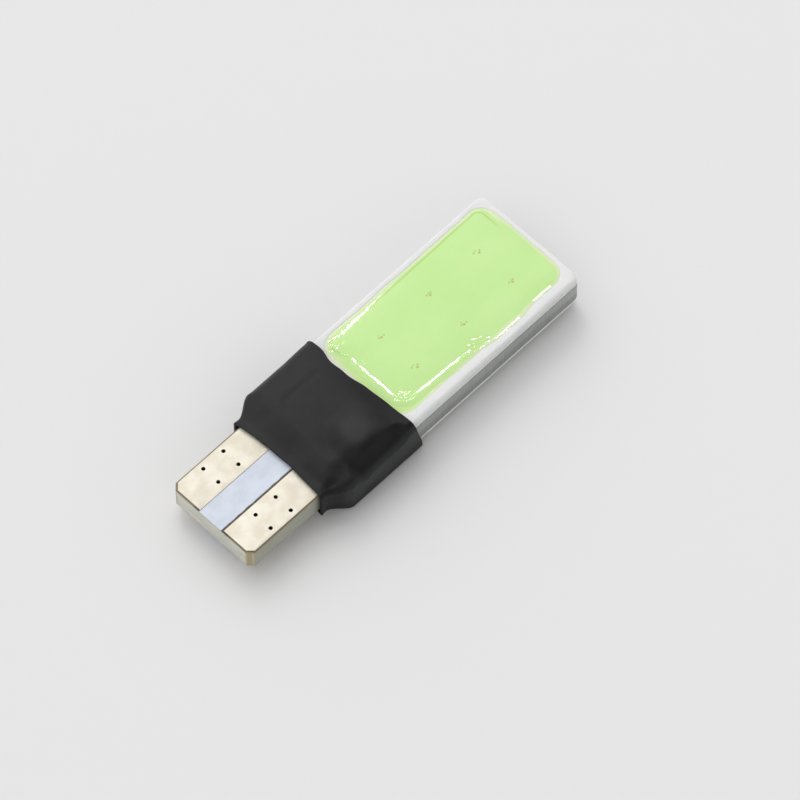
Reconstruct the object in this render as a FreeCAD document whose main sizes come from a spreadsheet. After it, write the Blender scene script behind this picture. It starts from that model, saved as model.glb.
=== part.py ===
import FreeCAD, Part
import math
import os

import Sketcher
from FreeCAD import Placement, Rotation, Vector

# Double-sided flat LED lamp with a 2.1 mm wedge base.
# Lengths run along X from the wedge tip, widths across Y, and thickness up Z.
# Each builder works from the wedge tip and the middle plane of the lamp, and seat() then moves
# its piece so that the lamp lies on Z = 0 with the middle of its length and width at the origin.

DOCUMENT = FreeCAD.newDocument("wedge_base_led_bulb")

# Driving dimensions in millimetres

SIZES = (
    # Wedge base board and its contacts
    ("tongue_thickness", 2.1, "thickness of the wedge tongue over its contacts"),
    ("tongue_width", 8.1, "width of the wedge tongue"),
    ("free_length", 6.9, "tongue that stands out of the sleeve"),
    ("shoulder_setback", 1.3, "sleeve mouth to the board's shoulders"),
    ("driver_length", 5.2, "wide part of the board, which carries the driver"),
    ("foil_thickness", 0.1, "plated copper"),
    ("tip_chamfer", 0.45, "corner chamfer at the tongue's tip"),
    ("shoulder_round", 0.8, "corner radius of the board's shoulders"),
    ("pad_margin", 0.12, "bare laminate round the contacts"),
    ("stripe_width", 2.2, "printed stripe between the contacts"),
    ("stripe_thickness", 0.06, "thickness of the printed stripe"),
    ("stripe_clearance", 0.1, "bare line on each side of the stripe"),
    ("via_hole", 0.32, "open hole of a plated via"),
    ("via_wall", 0.1, "plating of a via's wall"),
    ("via_first", 2.63, "wedge tip to the first row of vias"),
    ("via_row_pitch", 2.03, "distance between the rows of vias"),
    ("via_column_pitch", 1.53, "distance between the columns of vias"),
    ("via_offset", 0.1, "middle of a contact to the middle of its columns, outwards"),
    # Lit plate
    ("plate_gap", 0.25, "end of the board to the plate"),
    ("plate_width", 10.2, "width of the lit plate and of the board's shoulders"),
    ("plate_thickness", 2.05, "aluminium core"),
    ("plate_corner", 0.7, "corner radius of the plate"),
    ("land_length", 0.9, "plate's near end to the dam, where the solder lands lie"),
    ("dielectric_thickness", 0.12, "white insulating layer on each face of the plate"),
    ("land_thickness", 0.05, "copper of the solder lands on the plate"),
    ("dam_width", 0.7, "width of the white dam"),
    ("dam_height", 0.5, "height of the white dam"),
    ("dam_inset", 0.08, "edge of the plate to the dam"),
    ("dam_round", 0.3, "rounding of the dam's outer crest"),
    ("dam_slope", 0.25, "slope of the dam's inner crest"),
    ("window_length", 16.92, "length of the gel window"),
    ("window_corner", 1.5, "corner radius of the gel window"),
    ("gel_height", 0.42, "phosphor gel above the white layer"),
    # Chips and their wires
    ("chip_length", 0.9, "length of an LED chip, along the lamp"),
    ("chip_width", 0.55, "width of an LED chip"),
    ("chip_height", 0.15, "height of an LED chip"),
    ("chip_pitch", 5.0, "distance between rows of chips"),
    ("chip_spacing", 3.5, "distance between the two columns of chips"),
    ("chip_end_margin", 3.1, "end of the gel window to the last row of chips"),
    ("wire_gauge", 0.04, "bond wire"),
    ("wire_reach", 0.45, "chip's edge to the foot of its bond wire"),
    ("wire_rise", 0.12, "bond wire above the chip"),
    # Driver parts
    ("tail_length", 0.7, "solder tail at the end of the board"),
    ("tail_width", 1.2, "width of the solder tails and lands"),
    ("tail_offset", 1.2, "lamp's axis to the middle of a solder tail"),
    ("joint_height", 0.3, "height of a solder joint"),
    ("part_margin", 0.15, "space between neighbouring driver parts"),
    ("terminal_length", 0.4, "end cap of a chip resistor or capacitor"),
    ("terminal_step", 0.04, "end cap proud of its body"),
    ("resistor_length", 3.2, "chip resistor"),
    ("resistor_width", 1.6, "chip resistor"),
    ("resistor_height", 0.55, "chip resistor"),
    ("resistor_edge", 0.4, "front resistor to the edge of the board"),
    ("capacitor_length", 2.2, "chip capacitor"),
    ("capacitor_height", 1.0, "chip capacitor"),
    ("capacitor_width", 1.6, "chip capacitor"),
    ("regulator_length", 2.7, "current regulator, along the lamp"),
    ("regulator_width", 2.9, "current regulator"),
    ("regulator_height", 0.5, "current regulator"),
    ("diode_length", 1.7, "rectifier diode"),
    ("diode_width", 1.25, "rectifier diode"),
    ("diode_height", 0.7, "rectifier diode"),
    # Heat-shrink sleeve
    ("sleeve_wall", 0.3, "wall of the shrunk film"),
    ("film_gap", 0.05, "film to what it is shrunk on"),
    ("film_slack", 0.3, "film above the bare board between parts"),
    ("film_softness", 1.0, "run of the film from the top of a part down to the board"),
    ("film_bend", 0.15, "inner radius of the film where it bends round an edge"),
    ("mouth_hollow", 0.35, "how far the sleeve's mouth curves in"),
    ("plate_overlap", 1.6, "sleeve over the near end of the plate"),
    ("far_skew", 0.65, "slant of the sleeve's far edge across its width"),
    ("far_lean", 0.6, "far edge further along underneath than on top"),
)

SHEET = DOCUMENT.addObject("Spreadsheet::Sheet", "Sizes")
for row, (alias, number, meaning) in enumerate(SIZES, start=1):
    SHEET.set(f"A{row}", meaning)
    SHEET.set(f"B{row}", str(number))
    SHEET.setAlias(f"B{row}", alias)
DOCUMENT.recompute()

# Places worked out from the driving dimensions, each as an expression on the sheet

TONGUE_END = "(Sizes.free_length + Sizes.shoulder_setback)"
BOARD_END = f"({TONGUE_END} + Sizes.driver_length)"
PLATE_START = f"({BOARD_END} + Sizes.plate_gap)"
DAM_START = f"({PLATE_START} + Sizes.land_length)"
WINDOW_START = f"({DAM_START} + Sizes.dam_width)"
WINDOW_END = f"({WINDOW_START} + Sizes.window_length)"
DAM_END = f"({WINDOW_END} + Sizes.dam_width)"
LAMP_END = f"({DAM_END} + Sizes.dam_inset)"
SLEEVE_END = f"({PLATE_START} + Sizes.plate_overlap)"

LAMINATE_HALF = "(Sizes.tongue_thickness / 2 - Sizes.foil_thickness)"
TONGUE_HALF = "(Sizes.tongue_thickness / 2)"
CORE_HALF = "(Sizes.plate_thickness / 2)"
FACE_HALF = f"({CORE_HALF} + Sizes.dielectric_thickness)"
CREST_HALF = f"({FACE_HALF} + Sizes.dam_height)"
WINDOW_WIDTH = "(Sizes.plate_width - 2 * Sizes.dam_inset - 2 * Sizes.dam_width)"

STRIPE_HALF = "(Sizes.stripe_width / 2)"
CONTACT_INNER = f"({STRIPE_HALF} + Sizes.stripe_clearance)"
CONTACT_OUTER = "(Sizes.tongue_width / 2 - Sizes.pad_margin)"
CONTACT_MIDDLE = f"(({CONTACT_INNER} + {CONTACT_OUTER}) / 2 + Sizes.via_offset)"
SHOULDER_STEP = "((Sizes.plate_width - Sizes.tongue_width) / 2)"
SHOULDER_ROUND = f"min(Sizes.shoulder_round; 0.8 * {SHOULDER_STEP})"

PARTS_END = f"({BOARD_END} - Sizes.tail_length - Sizes.part_margin)"
REAR_PARTS_TOP = f"({TONGUE_HALF} + max(Sizes.diode_height; Sizes.resistor_height))"
REAR_CONTENTS = f"max({REAR_PARTS_TOP}; {CREST_HALF})"
REST_HEIGHT = f"({REAR_CONTENTS} + Sizes.film_gap + Sizes.sleeve_wall)"

FRONT = "front"
REAR = "rear"
LEFT = "left"
RIGHT = "right"
SIGN = {FRONT: "", REAR: "-", LEFT: "", RIGHT: "-"}
TURNED_OVER = Rotation(Vector(1, 0, 0), 180)

NEAR = 0.01

PIECES = []


def value(expression):
    """Value of an expression on the sheet, in millimetres."""
    return float(SHEET.evalExpression(expression))


def seat(piece, face=FRONT, along="0", across="0", up="0"):
    """Put a piece at a place measured from the wedge tip and the middle plane of one face."""
    if face == REAR:
        piece.Placement = Placement(Vector(), TURNED_OVER)
    piece.setExpression("Placement.Base.x", f"({along}) - {LAMP_END} / 2")
    piece.setExpression("Placement.Base.y", f"{SIGN[face]}({across})")
    piece.setExpression("Placement.Base.z", f"{REST_HEIGHT} + {SIGN[face]}({up})")
    return piece


def keep(piece, label):
    """List a finished piece under the name that its file gets."""
    piece.Label = label
    PIECES.append(piece)
    return piece


def block(label, face, along, across, up, length, width, height):
    """Box seated by the middle of its near edge, its sizes bound to the sheet."""
    box = DOCUMENT.addObject("Part::Box", label)
    box.setExpression("Length", length)
    box.setExpression("Width", width)
    box.setExpression("Height", height)
    return seat(box, face, along, f"({across}) - ({width}) / 2", up)


def fuse(label, shapes):
    """Union of several objects."""
    union = DOCUMENT.addObject("Part::MultiFuse", label)
    union.Shapes = shapes
    union.Refine = True
    return union


def cut(label, base, tool):
    """One object less another."""
    remainder = DOCUMENT.addObject("Part::Cut", label)
    remainder.Base = base
    remainder.Tool = tool
    return remainder


# Sketches


def new_body(label):
    """Body with its origin planes."""
    return DOCUMENT.addObject("PartDesign::Body", label)


def new_sketch(body, name, height="0", role="XY_Plane"):
    """Sketch on one of the body's origin planes, lifted off it by a height."""
    plane = next(item for item in body.Origin.OriginFeatures if item.Role == role)
    sketch = body.newObject("Sketcher::SketchObject", name)
    sketch.AttachmentSupport = [(plane, "")]
    sketch.MapMode = "FlatFace"
    sketch.setExpression("AttachmentOffset.Base.z", height)
    return sketch


def bind(sketch, kind, elements, name, expression):
    """Add a dimension to a sketch and bind it to the sheet."""
    sketch.addConstraint(Sketcher.Constraint(kind, *elements, value(expression)))
    index = sketch.ConstraintCount - 1
    sketch.renameConstraint(index, name)
    sketch.setExpression(f"Constraints.{name}", expression)


def add_rectangle(sketch, low_x, high_x, low_y, high_y, tag=""):
    """Four-sided outline with its sides at the given places."""
    corners = [
        Vector(value(low_x), value(low_y), 0),
        Vector(value(high_x), value(low_y), 0),
        Vector(value(high_x), value(high_y), 0),
        Vector(value(low_x), value(high_y), 0),
    ]
    lines = [
        sketch.addGeometry(Part.LineSegment(start, end), False)
        for start, end in zip(corners, corners[1:] + corners[:1])
    ]
    for line, following in zip(lines, lines[1:] + lines[:1]):
        sketch.addConstraint(Sketcher.Constraint("Coincident", line, 2, following, 1))
    for line, direction in zip(lines, ("Horizontal", "Vertical", "Horizontal", "Vertical")):
        sketch.addConstraint(Sketcher.Constraint(direction, line))
    bind(sketch, "DistanceX", (-1, 1, lines[0], 1), f"low_x{tag}", low_x)
    bind(sketch, "DistanceX", (-1, 1, lines[2], 1), f"high_x{tag}", high_x)
    bind(sketch, "DistanceY", (-1, 1, lines[0], 1), f"low_y{tag}", low_y)
    bind(sketch, "DistanceY", (-1, 1, lines[2], 1), f"high_y{tag}", high_y)


def add_rounded_rectangle(sketch, low_x, high_x, width, radius, tag=""):
    """Outline even about the X axis, with four equal corner arcs."""
    left, right = value(low_x), value(high_x)
    half, curve = value(width) / 2, value(radius)
    centres = (
        Vector(right - curve, half - curve, 0),
        Vector(left + curve, half - curve, 0),
        Vector(left + curve, curve - half, 0),
        Vector(right - curve, curve - half, 0),
    )
    arcs = []
    for quarter, centre in enumerate(centres):
        circle = Part.Circle(centre, Vector(0, 0, 1), curve)
        start = quarter * math.pi / 2
        arcs.append(sketch.addGeometry(Part.ArcOfCircle(circle, start, start + math.pi / 2), False))
    lines = []
    for arc, following in zip(arcs, arcs[1:] + arcs[:1]):
        start = sketch.getPoint(arc, 2)
        end = sketch.getPoint(following, 1)
        line = sketch.addGeometry(Part.LineSegment(start, end), False)
        sketch.addConstraint(Sketcher.Constraint("Tangent", line, 1, arc, 2))
        sketch.addConstraint(Sketcher.Constraint("Tangent", line, 2, following, 1))
        lines.append(line)
    for arc in arcs[1:]:
        sketch.addConstraint(Sketcher.Constraint("Equal", arcs[0], arc))
    sketch.addConstraint(Sketcher.Constraint("Horizontal", lines[0]))
    sketch.addConstraint(Sketcher.Constraint("Horizontal", lines[2]))
    sketch.addConstraint(Sketcher.Constraint("Vertical", lines[3]))
    sketch.addConstraint(Sketcher.Constraint("Symmetric", lines[1], 1, lines[1], 2, -1))
    bind(sketch, "DistanceX", (-1, 1, lines[1], 1), f"low_x{tag}", low_x)
    bind(sketch, "DistanceX", (-1, 1, lines[3], 1), f"high_x{tag}", high_x)
    bind(sketch, "DistanceY", (lines[2], 1, lines[0], 1), f"width{tag}", width)
    bind(sketch, "Radius", (arcs[0],), f"radius{tag}", radius)


def add_via_circles(sketch, side, diameter):
    """Circles at the vias of one contact."""
    for row in range(2):
        for column in range(2):
            along = f"(Sizes.via_first + {row} * Sizes.via_row_pitch)"
            across = f"{SIGN[side]}({CONTACT_MIDDLE} + {column - 0.5} * Sizes.via_column_pitch)"
            centre = Vector(value(along), value(across), 0)
            circle = Part.Circle(centre, Vector(0, 0, 1), value(diameter) / 2)
            index = sketch.addGeometry(circle, False)
            tag = f"_{side}_{row}_{column}"
            bind(sketch, "Diameter", (index,), f"hole{tag}", diameter)
            bind(sketch, "DistanceX", (-1, 1, index, 3), f"via_x{tag}", along)
            bind(sketch, "DistanceY", (-1, 1, index, 3), f"via_y{tag}", across)


def pad(body, sketch, name, height):
    """Pad of a sketch, upwards."""
    feature = body.newObject("PartDesign::Pad", name)
    feature.Profile = sketch
    feature.setExpression("Length", height)
    DOCUMENT.recompute()
    return feature


def pocket_through(body, sketch, name):
    """Pocket of a sketch through the whole body."""
    before = body.Shape.Volume
    feature = body.newObject("PartDesign::Pocket", name)
    feature.Profile = sketch
    feature.Type = "ThroughAll"
    feature.Reversed = True
    DOCUMENT.recompute()
    if body.Shape.Volume >= before:
        raise RuntimeError(f"{body.Label}: {name} cuts nothing")
    return feature


def edges_where(shape, test):
    """Names of the edges whose middle point and direction pass a test."""
    names = []
    for number, edge in enumerate(shape.Edges, start=1):
        middle = edge.valueAt((edge.FirstParameter + edge.LastParameter) / 2)
        if test(edge, middle):
            names.append(f"Edge{number}")
    return names


def upright_edge(edge):
    """True for a straight edge that stands upright."""
    if edge.Curve.TypeId != "Part::GeomLine":
        return False
    return abs(edge.tangentAt(edge.FirstParameter).z) > 0.99


def dress(body, kind, name, edges, key, size):
    """Chamfer or fillet on chosen edges of a body's last feature."""
    base = body.Tip
    feature = body.newObject(f"PartDesign::{kind}", name)
    feature.Base = (base, edges)
    feature.setExpression(key, size)
    DOCUMENT.recompute()
    return feature


# Wedge base board


def build_base_board():
    """Laminate with its tongue, shoulders, chamfered tip and drilled vias."""
    body = new_body("base_board")
    tongue = new_sketch(body, "tongue_outline", f"-{LAMINATE_HALF}")
    half = "Sizes.tongue_width / 2"
    add_rectangle(tongue, "0", BOARD_END, f"-{half}", half)
    pad(body, tongue, "tongue_pad", f"2 * {LAMINATE_HALF}")
    wide = new_sketch(body, "shoulder_outline", f"-{LAMINATE_HALF}")
    half = "Sizes.plate_width / 2"
    add_rectangle(wide, TONGUE_END, BOARD_END, f"-{half}", half)
    pad(body, wide, "shoulder_pad", f"2 * {LAMINATE_HALF}")

    holes = new_sketch(body, "via_drilling", f"-{LAMINATE_HALF}")
    for side in (LEFT, RIGHT):
        add_via_circles(holes, side, "Sizes.via_hole + 2 * Sizes.via_wall")
    pocket_through(body, holes, "vias")

    tip = edges_where(body.Shape, lambda edge, middle: upright_edge(edge) and middle.x < NEAR)
    dress(body, "Chamfer", "tip_chamfers", tip, "Size", "Sizes.tip_chamfer")
    shoulder = value(TONGUE_END)
    half_width = value("Sizes.plate_width / 2")
    outer = edges_where(
        body.Shape,
        lambda edge, middle: upright_edge(edge)
        and abs(middle.x - shoulder) < NEAR
        and abs(middle.y) > half_width - NEAR,
    )
    dress(body, "Fillet", "shoulder_rounds", outer, "Radius", SHOULDER_ROUND)
    seat(body)
    return keep(body, "base_board")


def build_contact(side):
    """Plated contact on one side of the tongue: both faces joined through four vias."""
    body = new_body(f"{side}_contact")
    low_y, high_y = CONTACT_INNER, CONTACT_OUTER
    if side == RIGHT:
        low_y, high_y = f"-{CONTACT_OUTER}", f"-{CONTACT_INNER}"
    lower = new_sketch(body, "rear_foil_outline", f"-{TONGUE_HALF}")
    add_rectangle(lower, "Sizes.pad_margin", TONGUE_END, low_y, high_y)
    pad(body, lower, "rear_foil", "Sizes.foil_thickness")
    barrels = new_sketch(body, "barrel_outline", f"-{TONGUE_HALF}")
    add_via_circles(barrels, side, "Sizes.via_hole + 2 * Sizes.via_wall")
    pad(body, barrels, "barrels", "Sizes.tongue_thickness")
    upper = new_sketch(body, "front_foil_outline", LAMINATE_HALF)
    add_rectangle(upper, "Sizes.pad_margin", TONGUE_END, low_y, high_y)
    pad(body, upper, "front_foil", "Sizes.foil_thickness")

    holes = new_sketch(body, "via_holes", f"-{TONGUE_HALF}")
    add_via_circles(holes, side, "Sizes.via_hole")
    pocket_through(body, holes, "open_vias")

    tip_x = value("Sizes.pad_margin")
    outer_y = value(CONTACT_OUTER)
    corner = edges_where(
        body.Shape,
        lambda edge, middle: upright_edge(edge)
        and abs(middle.x - tip_x) < NEAR
        and abs(abs(middle.y) - outer_y) < NEAR,
    )
    dress(body, "Chamfer", "corner_chamfer", corner, "Size", "Sizes.tip_chamfer")
    seat(body)
    return keep(body, f"{side}_contact")


def build_stripe(face):
    """Printed stripe between the two contacts of one face."""
    label = f"{face}_mask_stripe"
    stripe = block(
        label, face, "0", "0", LAMINATE_HALF, TONGUE_END, "Sizes.stripe_width", "Sizes.stripe_thickness"
    )
    return keep(stripe, label)


def build_tail(side):
    """Solder tail plated round the end of the board."""
    across = f"{SIGN[side]}Sizes.tail_offset"
    start = f"{BOARD_END} - Sizes.tail_length"
    outer = block(
        f"{side}_tail_outer",
        FRONT,
        start,
        across,
        f"-{TONGUE_HALF}",
        "Sizes.tail_length + Sizes.foil_thickness",
        "Sizes.tail_width",
        "Sizes.tongue_thickness",
    )
    core = block(
        f"{side}_tail_core",
        FRONT,
        start,
        across,
        f"-{LAMINATE_HALF}",
        "Sizes.tail_length",
        "Sizes.tail_width",
        f"2 * {LAMINATE_HALF}",
    )
    label = f"{side}_board_tail"
    return keep(cut(label, outer, core), label)


# Lit plate


def build_core_plate():
    """Aluminium core that carries both lit faces."""
    body = new_body("core_plate")
    outline = new_sketch(body, "plate_outline", f"-{CORE_HALF}")
    length = f"{LAMP_END} - {PLATE_START}"
    add_rounded_rectangle(outline, "0", length, "Sizes.plate_width", "Sizes.plate_corner")
    pad(body, outline, "plate", "Sizes.plate_thickness")
    seat(body, FRONT, PLATE_START)
    return keep(body, "core_plate")


def build_dielectric(face):
    """White insulating layer over one face of the core."""
    body = new_body(f"{face}_white_layer")
    outline = new_sketch(body, "layer_outline", "0")
    length = f"{LAMP_END} - {PLATE_START}"
    add_rounded_rectangle(outline, "0", length, "Sizes.plate_width", "Sizes.plate_corner")
    pad(body, outline, "layer", "Sizes.dielectric_thickness")
    seat(body, face, PLATE_START, "0", CORE_HALF)
    return keep(body, f"{face}_white_layer")


def build_land(face, side):
    """Copper land at the near end of the plate, where a solder joint ends."""
    label = f"{face}_{side}_land"
    land = block(
        label,
        face,
        PLATE_START,
        f"{SIGN[face]}{SIGN[side]}Sizes.tail_offset",
        FACE_HALF,
        "Sizes.land_length - Sizes.part_margin",
        "Sizes.tail_width",
        "Sizes.land_thickness",
    )
    return keep(land, label)


def crest_edges(body, inner):
    """Edges of the dam's crest, round its window or round its outside."""
    crest = value("Sizes.dam_height")
    half_window = value(WINDOW_WIDTH) / 2 + NEAR
    start = value("Sizes.dam_width") - NEAR
    end = value("Sizes.dam_width + Sizes.window_length") + NEAR

    def chosen(edge, middle):
        in_window = abs(middle.y) < half_window and start < middle.x < end
        return abs(middle.z - crest) < NEAR and in_window == inner

    return edges_where(body.Shape, chosen)


def build_dam(face):
    """Bead of white silicone round the lit window."""
    body = new_body(f"{face}_dam")
    ring = new_sketch(body, "ring_outline", "0")
    outer_width = "Sizes.plate_width - 2 * Sizes.dam_inset"
    outer_corner = "Sizes.plate_corner - Sizes.dam_inset"
    inner_end = "Sizes.dam_width + Sizes.window_length"
    add_rounded_rectangle(ring, "0", f"{inner_end} + Sizes.dam_width", outer_width, outer_corner, "_outer")
    add_rounded_rectangle(ring, "Sizes.dam_width", inner_end, WINDOW_WIDTH, "Sizes.window_corner", "_inner")
    pad(body, ring, "bead", "Sizes.dam_height")
    dress(body, "Fillet", "outer_crest_round", crest_edges(body, False), "Radius", "Sizes.dam_round")
    dress(body, "Chamfer", "inner_crest_slope", crest_edges(body, True), "Size", "Sizes.dam_slope")
    seat(body, face, DAM_START, "0", FACE_HALF)
    return keep(body, f"{face}_dam")


def chip_places():
    """Row, column and the expressions of the middle of each chip of a face."""
    last = f"{WINDOW_END} - Sizes.chip_end_margin"
    for row in range(3):
        for column in range(2):
            along = f"({last} - {2 - row} * Sizes.chip_pitch)"
            across = f"({0.5 - column} * Sizes.chip_spacing)"
            yield row, column, along, across


def build_chips(face):
    """Six LED chips on one face."""
    chips = []
    for row, column, along, across in chip_places():
        label = f"{face}_chip_{2 * row + column + 1}"
        chip = block(
            label,
            face,
            f"{along} - Sizes.chip_length / 2",
            across,
            FACE_HALF,
            "Sizes.chip_length",
            "Sizes.chip_width",
            "Sizes.chip_height",
        )
        chips.append(keep(chip, label))
    return chips


def bond_wire(along, across, direction):
    """One bond wire, arched from the top of its chip down to the plate."""
    gauge = value("Sizes.wire_gauge")
    top = value("Sizes.chip_height")
    rise = top + value("Sizes.wire_rise")
    edge = value("Sizes.chip_length / 2")
    landing = edge - value("Sizes.wire_reach / 4")
    shoulder = edge + value("Sizes.wire_reach / 4")
    foot = edge + value("Sizes.wire_reach")
    outside = [(landing, top), (landing, rise), (shoulder, rise), (foot, 0)]
    inside = [(foot - gauge, 0), (shoulder - gauge / 2, rise - gauge)]
    inside += [(landing + gauge, rise - gauge), (landing + gauge, top)]
    low_y = across - gauge / 2
    points = [Vector(along + direction * x, low_y, z) for x, z in outside + inside]
    face = Part.Face(Part.makePolygon(points + points[:1]))
    return face.extrude(Vector(0, gauge, 0))


def build_bond_wires(face):
    """Two bond wires on each chip of one face, grouped in one piece."""
    wires = [
        bond_wire(value(along), value(across), direction)
        for _, _, along, across in chip_places()
        for direction in (-1, 1)
    ]
    group = DOCUMENT.addObject("Part::Feature", f"{face}_bond_wires")
    group.Shape = Part.makeCompound(wires)
    seat(group, face, "0", "0", FACE_HALF)
    return keep(group, f"{face}_bond_wires")


def build_gel(face, dam, inside):
    """Phosphor gel that fills the window up to the dam and round the chips and wires."""
    body = new_body(f"{face}_gel_blank")
    outline = new_sketch(body, "gel_outline", "0")
    reach = "Sizes.dam_slope"
    length = f"Sizes.window_length + 2 * {reach}"
    corner = f"Sizes.window_corner + {reach}"
    add_rounded_rectangle(outline, "0", length, f"{WINDOW_WIDTH} + 2 * {reach}", corner)
    pad(body, outline, "gel", "Sizes.gel_height")
    seat(body, face, f"{WINDOW_START} - {reach}", "0", FACE_HALF)
    label = f"{face}_phosphor_gel"
    return keep(cut(label, body, fuse(f"{face}_gel_contents", [dam] + inside)), label)


# Driver


def build_capped_part(label, face, along, across, length, width, height):
    """Chip resistor or capacitor: a ceramic body between two tinned end caps."""
    step = "Sizes.terminal_step"
    ceramic = block(
        f"{label}_ceramic",
        face,
        f"{along} + Sizes.terminal_length",
        across,
        f"{TONGUE_HALF} + {step}",
        f"{length} - 2 * Sizes.terminal_length",
        f"{width} - 2 * {step}",
        f"{height} - 2 * {step}",
    )
    caps = [
        block(f"{label}_{end}", face, start, across, TONGUE_HALF, "Sizes.terminal_length", width, height)
        for end, start in (("near_cap", along), ("far_cap", f"{along} + {length} - Sizes.terminal_length"))
    ]
    return keep(fuse(label, [ceramic] + caps), label)


def build_moulded_part(label, face, along, across, length, width, height):
    """Moulded package with its upper edges bevelled, standing on a thin lead frame."""
    bevel = "Sizes.terminal_step"
    frame_height = "Sizes.foil_thickness"
    frame = block(f"{label}_leads", face, along, across, TONGUE_HALF, length, width, frame_height)
    case = block(
        f"{label}_case",
        face,
        f"{along} + {bevel}",
        across,
        f"{TONGUE_HALF} + {frame_height}",
        f"{length} - 2 * {bevel}",
        f"{width} - 2 * {bevel}",
        f"{height} - {frame_height}",
    )
    return keep(fuse(label, [frame, case]), label)


def build_front_driver():
    """Resistor, current regulator and capacitor on the front of the board."""
    far = f"{BOARD_END} - Sizes.part_margin"
    across = "Sizes.plate_width / 2 - Sizes.resistor_edge - Sizes.resistor_width / 2"
    resistor = build_capped_part(
        "front_resistor",
        FRONT,
        f"{far} - Sizes.resistor_length",
        across,
        "Sizes.resistor_length",
        "Sizes.resistor_width",
        "Sizes.resistor_height",
    )
    clear = "Sizes.tail_offset + Sizes.tail_width / 2 + Sizes.part_margin"
    across = f"-({clear} + Sizes.capacitor_width / 2)"
    capacitor = build_capped_part(
        "filter_capacitor",
        FRONT,
        f"{far} - Sizes.capacitor_length",
        across,
        "Sizes.capacitor_length",
        "Sizes.capacitor_width",
        "Sizes.capacitor_height",
    )
    across = "Sizes.regulator_width / 2 - Sizes.tail_offset + Sizes.part_margin"
    regulator = build_moulded_part(
        "current_regulator",
        FRONT,
        f"{PARTS_END} - Sizes.regulator_length",
        across,
        "Sizes.regulator_length",
        "Sizes.regulator_width",
        "Sizes.regulator_height",
    )
    return [resistor, capacitor, regulator]


def build_rear_driver():
    """Two resistors and the four diodes of the rectifier on the rear of the board."""
    parts = []
    start = f"({PARTS_END} - Sizes.resistor_length)"
    for side in (LEFT, RIGHT):
        across = f"{SIGN[side]}(Sizes.resistor_width / 2 + Sizes.part_margin)"
        parts.append(
            build_capped_part(
                f"{side}_load_resistor",
                REAR,
                start,
                across,
                "Sizes.resistor_length",
                "Sizes.resistor_width",
                "Sizes.resistor_height",
            )
        )
        outer = f"{SIGN[side]}(Sizes.resistor_width + 3 * Sizes.part_margin + Sizes.diode_width / 2)"
        for place, end in enumerate(("near", "far")):
            along = f"{PARTS_END} - {2 - place} * Sizes.diode_length - {1 - place} * Sizes.part_margin"
            parts.append(
                build_moulded_part(
                    f"{side}_{end}_diode",
                    REAR,
                    along,
                    outer,
                    "Sizes.diode_length",
                    "Sizes.diode_width",
                    "Sizes.diode_height",
                )
            )
    return parts


def build_solder_joint(face, side):
    """Solder from a tail of the board over to a land of the plate."""
    label = f"{face}_{side}_solder_joint"
    across = f"{SIGN[face]}{SIGN[side]}Sizes.tail_offset"
    land_top = f"({FACE_HALF} + Sizes.land_thickness)"
    reach = "(Sizes.tail_length + Sizes.plate_gap / 2 - Sizes.part_margin / 2)"
    rise = f"({land_top} - {TONGUE_HALF} + Sizes.joint_height)"
    bead = new_body(f"{label}_bead")
    profile = new_sketch(bead, "bead_profile", "-Sizes.tail_width / 2", "XZ_Plane")
    half, top = value(reach), value(rise)
    ends = [Vector(-half, 0, 0), Vector(half, 0, 0)]
    arc = profile.addGeometry(Part.Arc(ends[1], Vector(0, top, 0), ends[0]), False)
    chord = profile.addGeometry(Part.LineSegment(*ends), False)
    profile.addConstraint(Sketcher.Constraint("Coincident", arc, 1, chord, 2))
    profile.addConstraint(Sketcher.Constraint("Coincident", arc, 2, chord, 1))
    profile.addConstraint(Sketcher.Constraint("Symmetric", chord, 1, chord, 2, -1, 1))
    bind(profile, "DistanceX", (-1, 1, chord, 2), "reach", reach)
    bind(profile, "Radius", (arc,), "crown", f"({reach}^2 + {rise}^2) / (2 * {rise})")
    pad(bead, profile, "bead", "Sizes.tail_width")
    seat(bead, face, f"{BOARD_END} + Sizes.plate_gap / 2", across, TONGUE_HALF)
    width = "2 * Sizes.tail_width"
    tail_room_length = f"{PLATE_START} - {TONGUE_END}"
    under_board = block(
        f"{label}_tail_room", face, TONGUE_END, across, "0", tail_room_length, width, TONGUE_HALF
    )
    under_plate = block(
        f"{label}_land_room", face, PLATE_START, across, "0", "Sizes.land_length", width, land_top
    )
    return keep(cut(label, bead, fuse(f"{label}_room", [under_board, under_plate])), label)


# Heat-shrink sleeve


def ease(distance, run):
    """Smooth step from 0 to 1 as a distance goes from 0 to the length of its run."""
    share = min(max(distance / run, 0.0), 1.0)
    return share * share * (3.0 - 2.0 * share)


# Film: even steps over its front, even stations along the lamp, and a power that blends the
# humps over neighbouring parts into one surface

FRONT_STEPS = 16
STATION_PITCH = 0.7
BLEND = 4


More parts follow.
